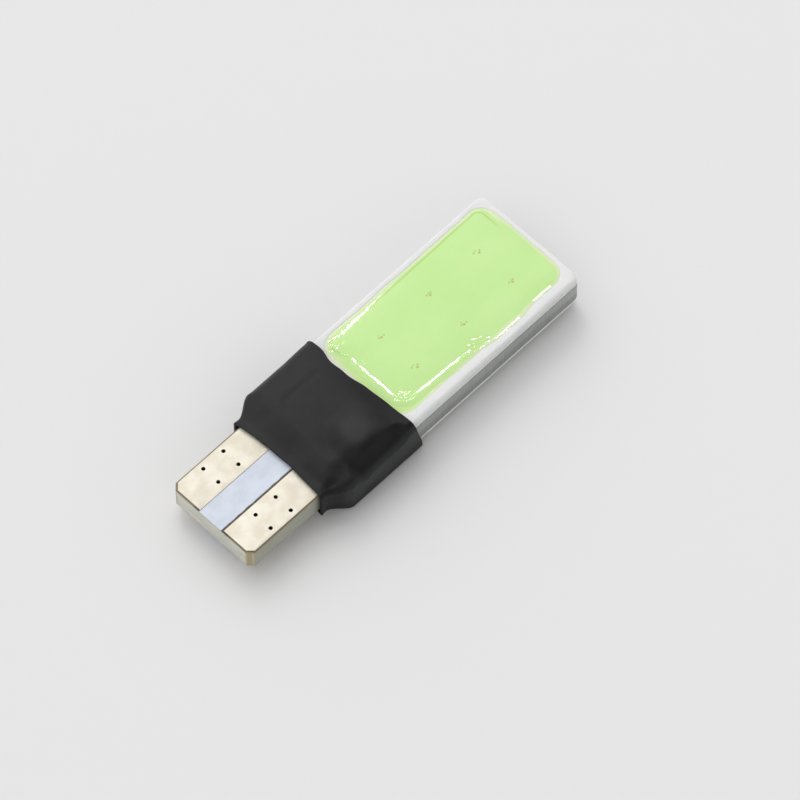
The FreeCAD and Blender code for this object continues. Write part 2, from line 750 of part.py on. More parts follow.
class ShrunkFilm:
    """Film stretched over the tongue's root, the driver parts, the plate and the dams."""

    def __init__(self, front_parts):
        self.gap = value("Sizes.film_gap")
        self.run = value("Sizes.film_softness")
        self.mouth = value("Sizes.free_length")
        self.shoulder = value(TONGUE_END)
        self.shoulder_run = value(f"Sizes.shoulder_setback + {SHOULDER_ROUND} / 2")
        self.tongue_half = value("Sizes.tongue_width / 2") + self.gap
        self.plate_half = value("Sizes.plate_width / 2") + self.gap
        self.tongue_level = value(TONGUE_HALF) + self.gap
        self.board_level = self.tongue_level + value("Sizes.film_slack")
        self.crest_level = value(CREST_HALF) + self.gap
        self.rear_level = value(REAR_CONTENTS) + self.gap
        self.dam_start = value(DAM_START)
        self.bend = value("Sizes.film_bend")
        self.humps = [self.hump(part) for part in front_parts]

    def hump(self, part):
        """Footprint of a driver part, and the level that the film has over it."""
        box = part.Shape.BoundBox
        along = box.Center.x + value(f"{LAMP_END} / 2")
        level = box.ZMax - value(REST_HEIGHT) + self.gap
        margin = self.gap + STATION_PITCH / 2
        return along, box.Center.y, box.XLength / 2 + margin, box.YLength / 2 + margin, level

    def half_width(self, along):
        """Half of the width of the film's inner face at a station."""
        share = ease(along - self.mouth, self.shoulder_run)
        return self.tongue_half + share * (self.plate_half - self.tongue_half)

    def front_level(self, along, across):
        """Height of the film's inner face over the front of the lamp."""
        level = self.tongue_level
        level += ease(along - self.shoulder, self.run) * (self.board_level - level)
        level += ease(along - self.dam_start + 2 * self.run, self.run) * (self.crest_level - level)
        rises = 0.0
        for middle_x, middle_y, half_x, half_y, hump_level in self.humps:
            share = 1.0 - ease(abs(along - middle_x) - half_x, self.run)
            share *= 1.0 - ease(abs(across - middle_y) - half_y, self.run)
            rises += (share * max(hump_level - level, 0.0)) ** BLEND
        return level + rises ** (1.0 / BLEND)

    def rear_level_at(self, along):
        """Height of the film's inner face under the rear of the lamp."""
        share = ease(along - self.mouth, self.shoulder_run)
        return -self.tongue_level - share * (self.rear_level - self.tongue_level)

    def section(self, along, grow):
        """Closed outline of the film at a station, grown outwards from its inner face."""
        corner = self.bend + grow
        flat = self.half_width(along) + grow - corner
        floor = self.rear_level_at(along) - grow + corner
        steps = [1 - 2 * step / FRONT_STEPS for step in range(FRONT_STEPS + 1)]
        levels = [self.front_level(along, flat * share) + grow for share in steps]
        crest = [Vector(along, flat * share, level) for share, level in zip(steps, levels)]
        front = Part.BSplineCurve()
        front.interpolate(
            Points=crest,
            Parameters=[1 - share for share in steps],
            InitialTangent=Vector(0, -flat, 0),
            FinalTangent=Vector(0, -flat, 0),
        )
        left_top = Vector(along, flat, crest[0].z - corner)
        right_top = Vector(along, -flat, crest[-1].z - corner)
        right_floor = Vector(along, -flat, floor)
        left_floor = Vector(along, flat, floor)
        return Part.Wire(
            [
                front.toShape(),
                corner_arc(right_top, corner, 90),
                Part.makeLine(right_top - Vector(0, corner, 0), right_floor - Vector(0, corner, 0)),
                corner_arc(right_floor, corner, 180),
                Part.makeLine(right_floor - Vector(0, 0, corner), left_floor - Vector(0, 0, corner)),
                corner_arc(left_floor, corner, 270),
                Part.makeLine(left_floor + Vector(0, corner, 0), left_top + Vector(0, corner, 0)),
                corner_arc(left_top, corner, 0),
            ]
        )

    def solid(self, grow):
        """Loft of the film's sections, longer at both ends than the trimmed sleeve."""
        start = self.mouth - 2 * value("Sizes.mouth_hollow")
        end = value(f"{SLEEVE_END} + 2 * Sizes.far_lean + Sizes.far_skew")
        count = round((end - start) / STATION_PITCH)
        stations = [start + (end - start) * step / count for step in range(count + 1)]
        return Part.makeLoft([self.section(along, grow) for along in stations], True, True)


def corner_arc(centre, radius, start):
    """Quarter turn across the lamp, from an angle in degrees measured from Y towards Z."""
    ends = []
    for angle in (start, start + 45, start + 90):
        turn = math.radians(angle)
        ends.append(centre + Vector(0, radius * math.cos(turn), radius * math.sin(turn)))
    return Part.Arc(*ends).toShape()


def sleeve_trim():
    """Space between the sleeve's hollow mouth and its slanted far edge, above the rest plane."""
    mouth = value("Sizes.free_length")
    hollow = value("Sizes.mouth_hollow")
    end = value(SLEEVE_END)
    half = value("Sizes.plate_width / 2")
    skew = value("Sizes.far_skew") / 2
    lean = value("Sizes.far_lean")
    reach = 2.0 * half
    widths = [half * share for share in (1.3, 0.45, -0.45, -1.3)]
    outlines = []
    for height, shift in ((-value(REST_HEIGHT), lean), (value(REST_HEIGHT) * 2, -lean)):
        left = Vector(mouth - hollow, widths[0], height)
        right = Vector(mouth - hollow, widths[-1], height)
        mouth_edge = Part.Arc(right, Vector(mouth + hollow / 2, 0, height), left).toShape()
        slants = [skew * math.sin(across / reach * math.pi) for across in widths]
        far_points = [
            Vector(end + shift - slant, across, height) for slant, across in zip(slants, widths)
        ]
        far_curve = Part.BSplineCurve()
        far_curve.interpolate(far_points)
        sides = [Part.makeLine(left, far_points[0]), Part.makeLine(far_points[-1], right)]
        outlines.append(Part.Wire([mouth_edge, sides[0], far_curve.toShape(), sides[1]]))
    return Part.makeLoft(outlines, True, True)


def build_sleeve(front_parts):
    """Film shrunk over the driver, the root of the tongue and the near end of the plate."""
    film = ShrunkFilm(front_parts)
    outside = film.solid(value("Sizes.sleeve_wall"))
    sleeve = DOCUMENT.addObject("Part::Feature", "heat_shrink_sleeve")
    sleeve.Shape = outside.common(sleeve_trim()).cut(film.solid(0.0))
    seat(sleeve)
    return keep(sleeve, "heat_shrink_sleeve")


# Lamp


def build_lamp():
    """Every piece of the lamp."""
    build_base_board()
    for side in (LEFT, RIGHT):
        build_contact(side)
        build_tail(side)
    build_core_plate()
    for face in (FRONT, REAR):
        build_stripe(face)
        build_dielectric(face)
        dam = build_dam(face)
        chips = build_chips(face)
        wires = build_bond_wires(face)
        build_gel(face, dam, chips + [wires])
        for side in (LEFT, RIGHT):
            build_land(face, side)
            build_solder_joint(face, side)
    front_parts = build_front_driver()
    build_rear_driver()
    DOCUMENT.recompute()
    build_sleeve(front_parts)
    DOCUMENT.recompute()


def check_document():
    """Stop if any object of the document failed, or any piece has no valid shape."""
    for item in DOCUMENT.Objects:
        if "Invalid" in item.State or "Error" in item.State:
            raise RuntimeError(f"{item.Label} failed: {item.State}")
    for piece in PIECES:
        if piece.Shape.isNull() or not piece.Shape.isValid() or not piece.Shape.Solids:
            raise RuntimeError(f"{piece.Label} has no valid solid")


def export_pieces():
    """Write each piece to its own file."""
    os.makedirs("parts", exist_ok=True)
    for piece in PIECES:
        piece.Shape.exportStep(f"parts/{piece.Label}.step")
    print(f"{len(PIECES)} pieces written")


build_lamp()
check_document()
export_pieces()
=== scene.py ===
import abc
import functools
import logging
import math
from collections.abc import Callable
from dataclasses import dataclass
from enum import Enum

import bmesh
import bpy
from bmesh.types import BMesh, BMVert
from bpy.types import Material, Object
from mathutils import Matrix, Vector, noise


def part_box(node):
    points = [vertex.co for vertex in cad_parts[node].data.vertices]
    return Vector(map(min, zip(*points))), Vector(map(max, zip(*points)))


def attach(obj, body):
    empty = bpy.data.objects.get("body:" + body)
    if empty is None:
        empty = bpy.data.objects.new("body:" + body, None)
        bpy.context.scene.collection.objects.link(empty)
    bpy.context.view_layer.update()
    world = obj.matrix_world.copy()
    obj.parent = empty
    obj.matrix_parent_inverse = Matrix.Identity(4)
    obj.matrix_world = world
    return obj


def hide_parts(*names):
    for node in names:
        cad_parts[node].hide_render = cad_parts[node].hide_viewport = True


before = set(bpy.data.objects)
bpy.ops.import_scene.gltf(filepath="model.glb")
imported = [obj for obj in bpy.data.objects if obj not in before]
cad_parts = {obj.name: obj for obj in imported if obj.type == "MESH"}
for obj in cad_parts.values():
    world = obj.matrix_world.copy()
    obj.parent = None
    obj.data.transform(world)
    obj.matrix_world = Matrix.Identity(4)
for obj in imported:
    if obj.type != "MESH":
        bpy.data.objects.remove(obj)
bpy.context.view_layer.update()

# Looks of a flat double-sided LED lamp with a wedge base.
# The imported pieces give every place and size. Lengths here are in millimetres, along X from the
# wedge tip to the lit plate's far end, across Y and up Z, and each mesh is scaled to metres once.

LOG = logging.getLogger("lamp")

MM = 0.001
BODY = "root"
CHIP_NUMBERS = range(1, 7)

Colour = tuple[float, float, float]
Triple = tuple[float, float, float]


class Face(Enum):
    """The two lit faces of the lamp."""

    FRONT = "front"
    REAR = "rear"

    @property
    def sign(self) -> float:
        """Direction in which the face looks, along Z."""
        return 1.0 if self is Face.FRONT else -1.0


class Side(Enum):
    """The two sides of the lamp, seen from the wedge tip with the front up."""

    LEFT = "left"
    RIGHT = "right"


@dataclass(frozen=True)
class Box:
    """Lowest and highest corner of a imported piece, in millimetres."""

    low: Vector
    high: Vector

    @classmethod
    @functools.cache
    def of(cls, node: str) -> "Box":
        """Box of a node of the frame."""
        low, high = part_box(node)
        return cls(low / MM, high / MM)

    @property
    def middle(self) -> Vector:
        """Point half way between the corners."""
        return (self.low + self.high) / 2


TIP = Box.of("base_board").low.x
MIDDLE_PLANE = Box.of("core_plate").middle.z


def ease(value: float, start: float, end: float) -> float:
    """Smooth step of a value from 0 at the start to 1 at the end, either of which may be larger."""
    share = min(max((value - start) / (end - start), 0.0), 1.0)
    return share * share * (3.0 - 2.0 * share)


def wander(along: float, across: float, scale: float, seed: float) -> float:
    """Smooth noise between about -1 and 1, the same on every run.

    Args:
        along: first place, in millimetres.
        across: second place, in millimetres.
        scale: size of a wave, in millimetres.
        seed: number that tells one use from another.

    Returns:
        The noise at that place.
    """
    return noise.noise(Vector((along / scale, across / scale, seed)))


# Materials


class Signal:
    """A value in a material, on which Python's operators add Math nodes."""

    def __init__(self, bench: "Bench", socket: bpy.types.NodeSocket) -> None:
        """Wrap a socket of the bench's node tree."""
        self.bench = bench
        self.socket = socket

    def math(self, operation: str, *values: "Signal | float") -> "Signal":
        """Math node with this value first.

        Args:
            operation: name of the Math node's operation.
            values: the values that follow.

        Returns:
            The result.
        """
        inputs = dict(enumerate((self, *values)))
        return self.bench.node("ShaderNodeMath", inputs, operation=operation)

    # Sum, product, difference, quotient, size without the sign, lower and higher of two values
    __add__ = __radd__ = functools.partialmethod(math, "ADD")
    __mul__ = __rmul__ = functools.partialmethod(math, "MULTIPLY")
    __sub__ = functools.partialmethod(math, "SUBTRACT")
    __truediv__ = functools.partialmethod(math, "DIVIDE")
    __abs__ = functools.partialmethod(math, "ABSOLUTE")
    lower = functools.partialmethod(math, "MINIMUM")
    upper = functools.partialmethod(math, "MAXIMUM")

    def __rsub__(self, other: float) -> "Signal":
        """Difference from a number."""
        return self * -1.0 + other

    def length_with(self, other: "Signal") -> "Signal":
        """Length of the vector that has these two values as its sides."""
        return (self * self + other * other).math("SQRT")

    def step(self, start: float, end: float) -> "Signal":
        """Smooth step of this value from 0 at the start to 1 at the end."""
        inputs = {0: self, 1: min(start, end), 2: max(start, end)}
        rise = self.bench.node("ShaderNodeMapRange", inputs, interpolation_type="SMOOTHSTEP")
        return rise if start < end else 1.0 - rise


NodeInputs = dict[int | str, object]


class Bench:
    """Node tree of a material or world, with one method that makes any node."""

    def __init__(self, owner: Material | bpy.types.World) -> None:
        """Start with an empty tree.

        Args:
            owner: the material or world.
        """
        self.owner = owner
        owner.use_nodes = True
        self.tree = owner.node_tree
        self.tree.nodes.clear()

    def node(
        self, kind: str, inputs: NodeInputs | None = None, output: int | str = 0, **settings: object
    ) -> Signal:
        """Make a node.

        Args:
            kind: type of the node.
            inputs: number or name of a socket, and its value or the signal that feeds it.
            output: number or name of the socket that is returned.
            settings: properties of the node, set before its inputs.

        Returns:
            The chosen output.
        """
        node = self.tree.nodes.new(kind)
        for key, setting in settings.items():
            setattr(node, key, setting)
        for key, value in (inputs or {}).items():
            if isinstance(value, Signal):
                self.tree.links.new(value.socket, node.inputs[key])
            else:
                node.inputs[key].default_value = value
        return Signal(self, node.outputs[output] if node.outputs else None)

    def place(self) -> tuple[Signal, Signal, Signal]:
        """Place on the lamp along X, Y and Z, in millimetres."""
        point = self.node("ShaderNodeTexCoord", output="Object")
        axes = self.tree.nodes.new("ShaderNodeSeparateXYZ")
        self.tree.links.new(point.socket, axes.inputs[0])
        return tuple(Signal(self, axes.outputs[axis]) * (1.0 / MM) for axis in range(3))

    def grain(
        self,
        tone_and_light: Triple | float,
        scale: float = 1.0,
        detail: float = 3.0,
        roughness: float = 0.55,
    ) -> Signal:
        """Noise over the lamp, from about 0.3 to 0.7.

        Args:
            tone_and_light: waves for each millimetre, one number for all or one each for X, Y and Z.
            scale: factor on all three.
            detail: octaves.
            roughness: share that each octave keeps.

        Returns:
            The noise.
        """
        factors = (tone_and_light,) * 3 if isinstance(tone_and_light, float) else tone_and_light
        spots = {axis: at * factors[axis] for axis, at in enumerate(self.place())}
        spot = self.node("ShaderNodeCombineXYZ", spots)
        inputs = {"Vector": spot, "Scale": scale, "Detail": detail, "Roughness": roughness}
        return self.node("ShaderNodeTexNoise", inputs)

    def mix(
        self, share: "Signal | float", first: "Signal | Colour", second: "Signal | Colour"
    ) -> Signal:
        """Colour between two colours."""
        colours = [c if isinstance(c, Signal) else (*c, 1.0) for c in (first, second)]
        inputs = {0: share, 6: colours[0], 7: colours[1]}
        return self.node("ShaderNodeMix", inputs, output=2, data_type="RGBA")

    def bump(self, height: Signal, depth: float, strength: float = 1.0) -> Signal:
        """Normal of a surface with fine relief.

        Args:
            height: relief, from 0 to 1.
            depth: depth of the relief in millimetres.
            strength: share of the relief that shows.

        Returns:
            The normal.
        """
        inputs = {"Strength": strength, "Distance": depth * MM, "Height": height}
        return self.node("ShaderNodeBump", inputs)

    def finish(self, **sockets: object) -> Material:
        """Close the tree with a Principled shader.

        Args:
            sockets: value or signal of each socket, its name in lower case with _ for spaces.

        Returns:
            The material.
        """
        inputs = {
            key.replace("_", " ").title().replace("Ior", "IOR"): value
            for key, value in sockets.items()
        }
        shader = self.node("ShaderNodeBsdfPrincipled", inputs)
        self.node("ShaderNodeOutputMaterial", {"Surface": shader})
        return self.owner


@dataclass(frozen=True)
class Finish(abc.ABC):
    """One finish of the lamp, which makes its material once."""

    slot: str = ""

    @abc.abstractmethod
    def build(self, bench: Bench) -> Material:
        """Make the material on an empty bench."""

    def material(self) -> Material:
        """Material of the finish, made the first time that it is asked for."""
        name = f"{self.slot}_finish"
        made = bpy.data.materials.get(name)
        return made or self.build(Bench(bpy.data.materials.new(name)))


@dataclass(frozen=True)
class Laminate(Finish):
    """Glass-fibre laminate: pale layered edges, a dark skin that is partly painted shade, and
    golden-brown corners at the tip.
    """

    slot: str = "laminate"
    edge: Colour = (0.66, 0.66, 0.59)
    layer: Colour = (0.43, 0.43, 0.35)
    fibre: Colour = (0.82, 0.80, 0.70)
    flank: Colour = (0.26, 0.265, 0.21)
    # Dark colours of the faces, partly the bare laminate's own brown and partly painted shade of the
    # narrow gaps beside the foils
    skin: Colour = (0.10, 0.08, 0.05)
    margin: Colour = (0.25, 0.20, 0.115)
    tip_corner_brown: Colour = (0.36, 0.26, 0.095)
    # Distances from the axis at which the flank and the golden-brown corner of the tip start
    flank_from: float = 3.95
    tip_corner_from: float = 3.35

    def build(self, bench: Bench) -> Material:
        """Layers along Z on the edges, and a dark skin above and below, partly painted shade of the
        gaps beside the foils.
        """
        half = Box.of("base_board").high.z - MIDDLE_PLANE
        along, across, up = bench.place()
        weave = bench.grain((0.5, 0.5, 9.0), 1.0, 4.0, 0.6).step(0.42, 0.62)
        fibres = bench.grain((2.6, 2.6, 14.0), 1.0, 2.0).step(0.5, 0.66)
        colour = bench.mix(weave * 0.55, self.edge, self.layer)
        colour = bench.mix(fibres * 0.3, colour, self.fibre)
        flank = (abs(across) - self.flank_from).step(0.0, 0.08) * 0.7
        colour = bench.mix(flank, colour, self.flank)
        at_tip = (along - TIP).step(0.55, 0.2)
        corner = (abs(across) - self.tip_corner_from).step(0.0, 0.35) * at_tip
        colour = bench.mix(corner * 0.8, colour, self.tip_corner_brown)
        # The skin is partly the bare laminate's own brown and partly painted shade of the narrow
        # gaps beside the foils and the stripe.
        skin = bench.mix(abs(across).step(1.5, 2.0), self.skin, self.margin)
        on_face = abs(up - MIDDLE_PLANE).step(half - 0.05, half - 0.02)
        relief = bench.grain((1.5, 1.5, 20.0), 1.0, 3.0)
        return bench.finish(
            base_color=bench.mix(on_face, colour, skin),
            roughness=0.42 + weave * 0.25,
            normal=bench.bump(relief, 0.02, 0.6),
            subsurface_weight=0.12,
            subsurface_radius=(0.5, 0.45, 0.3),
            subsurface_scale=MM,
        )


@dataclass(frozen=True)
class TinPlating(Finish):
    """Tin-plated copper: warm, finely mottled, with painted shade on the via walls."""

    slot: str = "tin_plating"
    bright: Colour = (0.80, 0.755, 0.65)
    warm: Colour = (0.745, 0.685, 0.56)
    # Painted shade of the via walls
    via_wall_shade: Colour = (0.045, 0.03, 0.02)

    def build(self, bench: Bench) -> Material:
        """Mottle over the foil, and painted shade on the walls below its surface."""
        half = Box.of("left_contact").high.z - MIDDLE_PLANE
        _, _, up = bench.place()
        mottle = bench.grain(1.0, 0.9, 4.0, 0.6).step(0.36, 0.66)
        fine = bench.grain(1.0, 9.0, 3.0, 0.6)
        # Painted shade: the walls below the foil's surface, inside the vias, are made dark.
        wall = abs(up - MIDDLE_PLANE).step(half - 0.01, half - 0.06)
        colour = bench.mix(mottle, self.bright, self.warm)
        return bench.finish(
            base_color=bench.mix(wall, colour, self.via_wall_shade),
            metallic=0.3 - wall * 0.2,
            roughness=0.42 + mottle * 0.1 + wall * 0.3,
            normal=bench.bump(fine, 0.012, 0.7),
        )


@dataclass(frozen=True)
class ShearedAluminium(Finish):
    """Cut edge of aluminium sheet: upright shear marks, darker in its lower half, with lines of
    painted shade where the white layers meet it.
    """

    slot: str = "aluminium"
    bright: Colour = (0.45, 0.46, 0.44)
    dull: Colour = (0.29, 0.30, 0.29)
    # Painted shade along the top and bottom of the edge, where the white layers meet it
    layer_gap_shade: Colour = (0.06, 0.06, 0.06)

    def build(self, bench: Bench) -> Material:
        """Marks along Z on the edges, darker and rougher in the lower half."""
        _, _, up = bench.place()
        height = up - MIDDLE_PLANE
        marks = bench.grain((9.0, 9.0, 0.35), 1.0, 4.0, 0.65).step(0.35, 0.68)
        waves = bench.grain((0.5, 0.5, 1.2), 1.0, 2.0)
        # Darker and rougher towards the bottom of the edge, below a wavy line
        darker_below = (height + (waves - 0.5) * 0.9).step(0.15, -0.35)
        colour = bench.mix(marks * 0.55 + darker_below * 0.35, self.bright, self.dull)
        return bench.finish(
            # Painted shade: dark lines along the top and bottom of the edge, where the white layers
            # meet the plate.
            base_color=bench.mix(abs(height).step(0.93, 1.0), colour, self.layer_gap_shade),
            metallic=0.75,
            roughness=0.42 + darker_below * 0.14 + marks * 0.08,
            normal=bench.bump(marks, 0.02, 0.5),
        )


@dataclass(frozen=True)
class PhosphorGel(Finish):
    """Light green phosphor gel, yellower at its rim, with the ends of the bond wires showing."""

    slot: str = "phosphor_gel"
    green: Colour = (0.555, 0.84, 0.31)
    pale: Colour = (0.585, 0.86, 0.345)
    rim: Colour = (0.60, 0.80, 0.25)
    thin: Colour = (0.80, 0.89, 0.58)
    # Painted shade: dark green line just inside the left highlight
    seam: Colour = (0.40, 0.62, 0.13)
    dot: Colour = (0.40, 0.30, 0.06)
    corner: float = 1.55
    # Distance over which the gel rises from its border, and its slope at the border
    rise_run: float = 2.2
    rise_slope: float = 0.172
    dot_radius: float = 0.10
    dot_stray: float = 0.05
    # Place of each dot from the middle of its chip, and how much smaller it shows
    dot_places: tuple[Triple, ...] = (
        (-0.20, 0.08, 0.03),
        (-0.02, 0.17, 0.045),
        (0.05, -0.08, 0.0),
        (0.25, 0.02, 0.03),
    )

    def dots(self, along: Signal, across: Signal) -> Signal:
        """Mask of the small dots over every chip.

        Args:
            along: place along X, in millimetres.
            across: place along Y, in millimetres.

        Returns:
            1 in the middle of a dot and 0 away from it.
        """
        nearest: Signal | None = None
        for number in CHIP_NUMBERS:
            middle = Box.of(f"front_chip_{number}").middle
            for dot, (shift_x, shift_y, loss) in enumerate(self.dot_places):
                stray = self.dot_stray * math.sin(number * 2.1 + dot * 1.7)
                gap_x = along - (middle.x + shift_x + stray)
                gap_y = across - (middle.y + shift_y - stray)
                distance = gap_x.length_with(gap_y) + loss
                nearest = distance if nearest is None else nearest.lower(distance)
        return nearest.step(self.dot_radius * 1.5, self.dot_radius * 0.4)

    def build(self, bench: Bench) -> Material:
        """Clouded green inside, yellower towards the rim, rising from its border."""
        along, across, up = bench.place()
        leftwards = across * ((up - MIDDLE_PLANE).step(-0.1, 0.1) * 2.0 - 1.0)
        from_tip = along - TIP
        uneven = bench.grain(0.45, 1.0, 2.0) - 0.5
        clouds = bench.grain((0.16, 0.3, 0.3), 1.0, 3.0).step(0.32, 0.68)
        inside = self.inside(from_tip, leftwards)
        border = self.border_distance(from_tip, leftwards)
        left = leftwards.step(1.6, 3.4)
        # Painted shade: a dark green line just inside the left highlight.
        seam = inside.step(0.50, 0.56) * inside.step(0.74, 0.62) * left
        colour = bench.mix(clouds, self.green, self.pale)
        for share, shade in (
            ((inside + uneven).step(0.45, -0.5) * 0.6, self.rim),
            (inside.step(0.34, 0.22) * left * 0.75, self.thin),
            (seam * 0.55, self.seam),
            ((border + uneven * 0.3).step(0.32, 0.0) * 0.75, self.thin),
            (self.dots(along, across) * 0.62, self.dot),
        ):
            colour = bench.mix(share, colour, shade)
        falling = 1.0 - (inside / self.rise_run).upper(0.0).lower(1.0)
        fine = bench.grain(0.7, 1.0, 2.0) * 0.025
        height = 1.0 - falling * falling + fine
        return bench.finish(
            base_color=colour,
            roughness=0.03 + clouds * 0.01,
            normal=bench.bump(height, 0.5 * self.rise_slope * self.rise_run),
            subsurface_weight=0.2,
            subsurface_radius=(0.5, 0.8, 0.3),
            subsurface_scale=MM,
        )

    def inside(self, from_tip: Signal, leftwards: Signal) -> Signal:
        """Distance inside the line along which the gel starts to rise.

        Args:
            from_tip: distance from the wedge tip.
            leftwards: distance to the left of the axis, seen with the face up.

        Returns:
            The distance in millimetres, under 0 outside the line.
        """
        plate = LitPlate()
        near = 15.62 - leftwards.step(1.9, 3.6) * 0.3
        far = plate.inner(Face.FRONT).high_x - TIP - 0.1
        left = (from_tip - 17.6) * 0.015 + 4.66
        right = (from_tip - 18.9).lower(5.0) * -0.045 - 4.03 - from_tip.step(22.5, 24.9) * 0.28
        right = right - abs(from_tip - plate.bulge_at).step(*plate.bulge_reach) * plate.bulge
        ends = (from_tip - near).lower(far - from_tip)
        corner = self.corner - leftwards.step(-0.5, 1.5) * 0.35
        return self.rounded(ends, (left - leftwards).lower(leftwards - right), corner)

    def border_distance(self, from_tip: Signal, leftwards: Signal) -> Signal:
        """Distance from the dam, in millimetres."""
        window = LitPlate().inner(Face.FRONT)
        ends = (from_tip - (window.low_x - TIP)).lower((window.high_x - TIP) - from_tip)
        sides = (leftwards - window.low_y).lower(window.high_y - leftwards)
        return self.rounded(ends, sides, from_tip * 0.0 + window.corner)

    def rounded(self, from_ends: Signal, from_sides: Signal, corner: Signal) -> Signal:
        """Distance inside a rounded rectangle from the distances to its ends and sides."""
        corner_x = (corner - from_ends).upper(0.0)
        corner_y = (corner - from_sides).upper(0.0)
        deeper = (from_ends.lower(from_sides) - corner).upper(0.0)
        return corner - corner_x.length_with(corner_y) + deeper


@dataclass(frozen=True)
class BlackFilm(Finish):
    """Satin black shrink film with fine drawn lines, greyer in random clouds, with painted light and
    shade over its relief.
    """

    slot: str = "black_film"
    black: Colour = (0.0020, 0.0025, 0.0024)
    grey: Colour = (0.0235, 0.0225, 0.0225)
    # Lighter colour of the lower side walls, painted light
    side: Colour = (0.017, 0.018, 0.019)
    # Places from the tip and across of the painted shade on the low film before the mound, and of
    # the painted highlight on the mound's top
    valley: tuple[float, float] = (10.3, -1.4)
    mound: tuple[float, float] = (12.2, -2.4)

    def build(self, bench: Bench) -> Material:
        """Grey in random clouds and painted light, black in painted shade, with a grain drawn round
        the sleeve.
        """
        clouds = bench.grain((0.42, 0.5, 0.5), 1.0, 4.0, 0.6).step(0.36, 0.64)
        drawn = bench.grain((7.0, 0.9, 0.9), 1.0, 4.0, 0.6)
        skin = bench.grain(16.0, 1.0, 3.0, 0.6)
        along, across, up = bench.place()
        # Painted light: the lower side walls are made lighter than the black film.
        side = (abs(across) - 4.9).step(0.0, 0.4) * (up - MIDDLE_PLANE).step(-1.6, -0.2)
        # Painted shade: the film is made darkest on the slope to the right, along its far edge and
        # before the mound
        far_edge = (along - TIP).step(13.2, 14.7) * across.step(6.5, -2.5)
        slope = across.step(-3.3, -4.2) * 0.8
        valley = self.distance(along, across, self.valley).step(1.5, 0.3) * 0.55
        painted_shade = far_edge.upper(slope).upper(valley)
        # Painted highlight on the mound's top
        mound = self.distance(along, across, self.mound).step(1.6, 0.4) * 0.45
        # Random clouds, with painted light that greys the film towards the left and on the mound
        tone_and_light = clouds * 0.35 + across.step(0.5, 3.5) * 0.25 + mound + 0.35
        # Painted shade darkens the film where the masks above meet
        colour = bench.mix(tone_and_light * (1.0 - painted_shade * 0.95), self.black, self.grey)
        return bench.finish(
            base_color=bench.mix(side * 0.8, colour, self.side),
            roughness=0.42 + clouds * 0.1 + (drawn - 0.5) * 0.12,
            normal=bench.bump(drawn * 0.6 + skin * 0.4, 0.016, 0.4),
            specular_ior_level=0.24,
        )

    def distance(self, along: Signal, across: Signal, spot: tuple[float, float]) -> Signal:
        """Distance from a spot on the film, in millimetres."""
        return (along - (TIP + spot[0])).length_with(across - spot[1])


Grain = tuple[Triple | float, ...]


@dataclass(frozen=True)
class Mottled(Finish):
    """Colour that turns to a second one in patches, with a fine relief.

    The patches and the relief are what Bench.grain is called with. Without a relief of its own,
    the surface rises and falls with its patches.
    """

    first: Colour = (0.8, 0.8, 0.8)
    second: Colour = (0.6, 0.6, 0.6)
    roughness: float = 0.3
    roughness_gain: float = 0.1
    patches: Grain = (3.0, 1.0, 4.0, 0.6)
    patch_step: tuple[float, float] = (0.35, 0.65)
    patch_share: float = 1.0
    relief: Grain = ()
    depth: float = 0.01
    strength: float = 0.6
    metallic: float = 0.0
    subsurface: float = 0.0

    def build(self, bench: Bench) -> Material:
        """Patches of colour and roughness over the relief."""
        mask = bench.grain(*self.patches).step(*self.patch_step)
        relief = bench.grain(*self.relief) if self.relief else mask
        return bench.finish(
            base_color=bench.mix(mask * self.patch_share, self.first, self.second),
            metallic=self.metallic,
            roughness=self.roughness + mask * self.roughness_gain,
            normal=bench.bump(relief, self.depth, self.strength),
            subsurface_weight=self.subsurface,
            subsurface_radius=(0.6, 0.6, 0.6),
            subsurface_scale=MM,
        )


Metal = functools.partial(Mottled, strength=0.5, metallic=1.0)
Moulding = functools.partial(Mottled, roughness_gain=0.12, patches=(6.0, 1.0, 3.0, 0.6))

FINISHES: dict[str, Finish] = {
    finish.slot: finish
    for finish in (
        Laminate(),
        TinPlating(),
        ShearedAluminium(),
        PhosphorGel(),
        BlackFilm(),
        Mottled(
            "pale_mask", (0.675, 0.73, 0.82), (0.615, 0.67, 0.77), 0.4, 0.12,
            patches=((0.8, 1.4, 1.0), 0.8, 3.0), patch_step=(0.35, 0.7), relief=(14.0, 1.0, 2.0),
        ),
        Mottled(
            "white_insulation", (0.86, 0.86, 0.85), (0.72, 0.72, 0.70), 0.45, 0.1,
            patches=(3.0, 2.0, 3.0), patch_step=(0.56, 0.7), patch_share=0.6,
            relief=(8.0, 1.0, 2.0), depth=0.012,
        ),
        Mottled(
            "white_silicone", (0.78, 0.78, 0.775), (0.745, 0.755, 0.75), 0.2, 0.08,
            patches=(0.35, 1.0, 2.0), relief=(1.1, 1.0, 2.0), depth=0.05, strength=0.5,
            subsurface=0.12,
        ),
        Metal("copper_land", (0.78, 0.42, 0.26), (0.62, 0.30, 0.18), 0.32),
        Metal("solder", (0.72, 0.73, 0.74), (0.58, 0.59, 0.60), 0.25),
        Metal("bond_wire", (0.86, 0.66, 0.30), (0.74, 0.54, 0.22), 0.25),
        Moulding("led_chip", (0.55, 0.62, 0.70), (0.42, 0.50, 0.60), 0.25),
        Moulding("capped_part", (0.34, 0.30, 0.25), (0.27, 0.23, 0.19), 0.45),
        Moulding("moulded_part", (0.030, 0.030, 0.032), (0.045, 0.045, 0.047), 0.55),
    )
}


# Meshes


def linked(name: str, data: bpy.types.ID) -> Object:
    """New object of the scene, made of some data."""
    made = bpy.data.objects.new(name, data)
    bpy.context.scene.collection.objects.link(made)
    return made


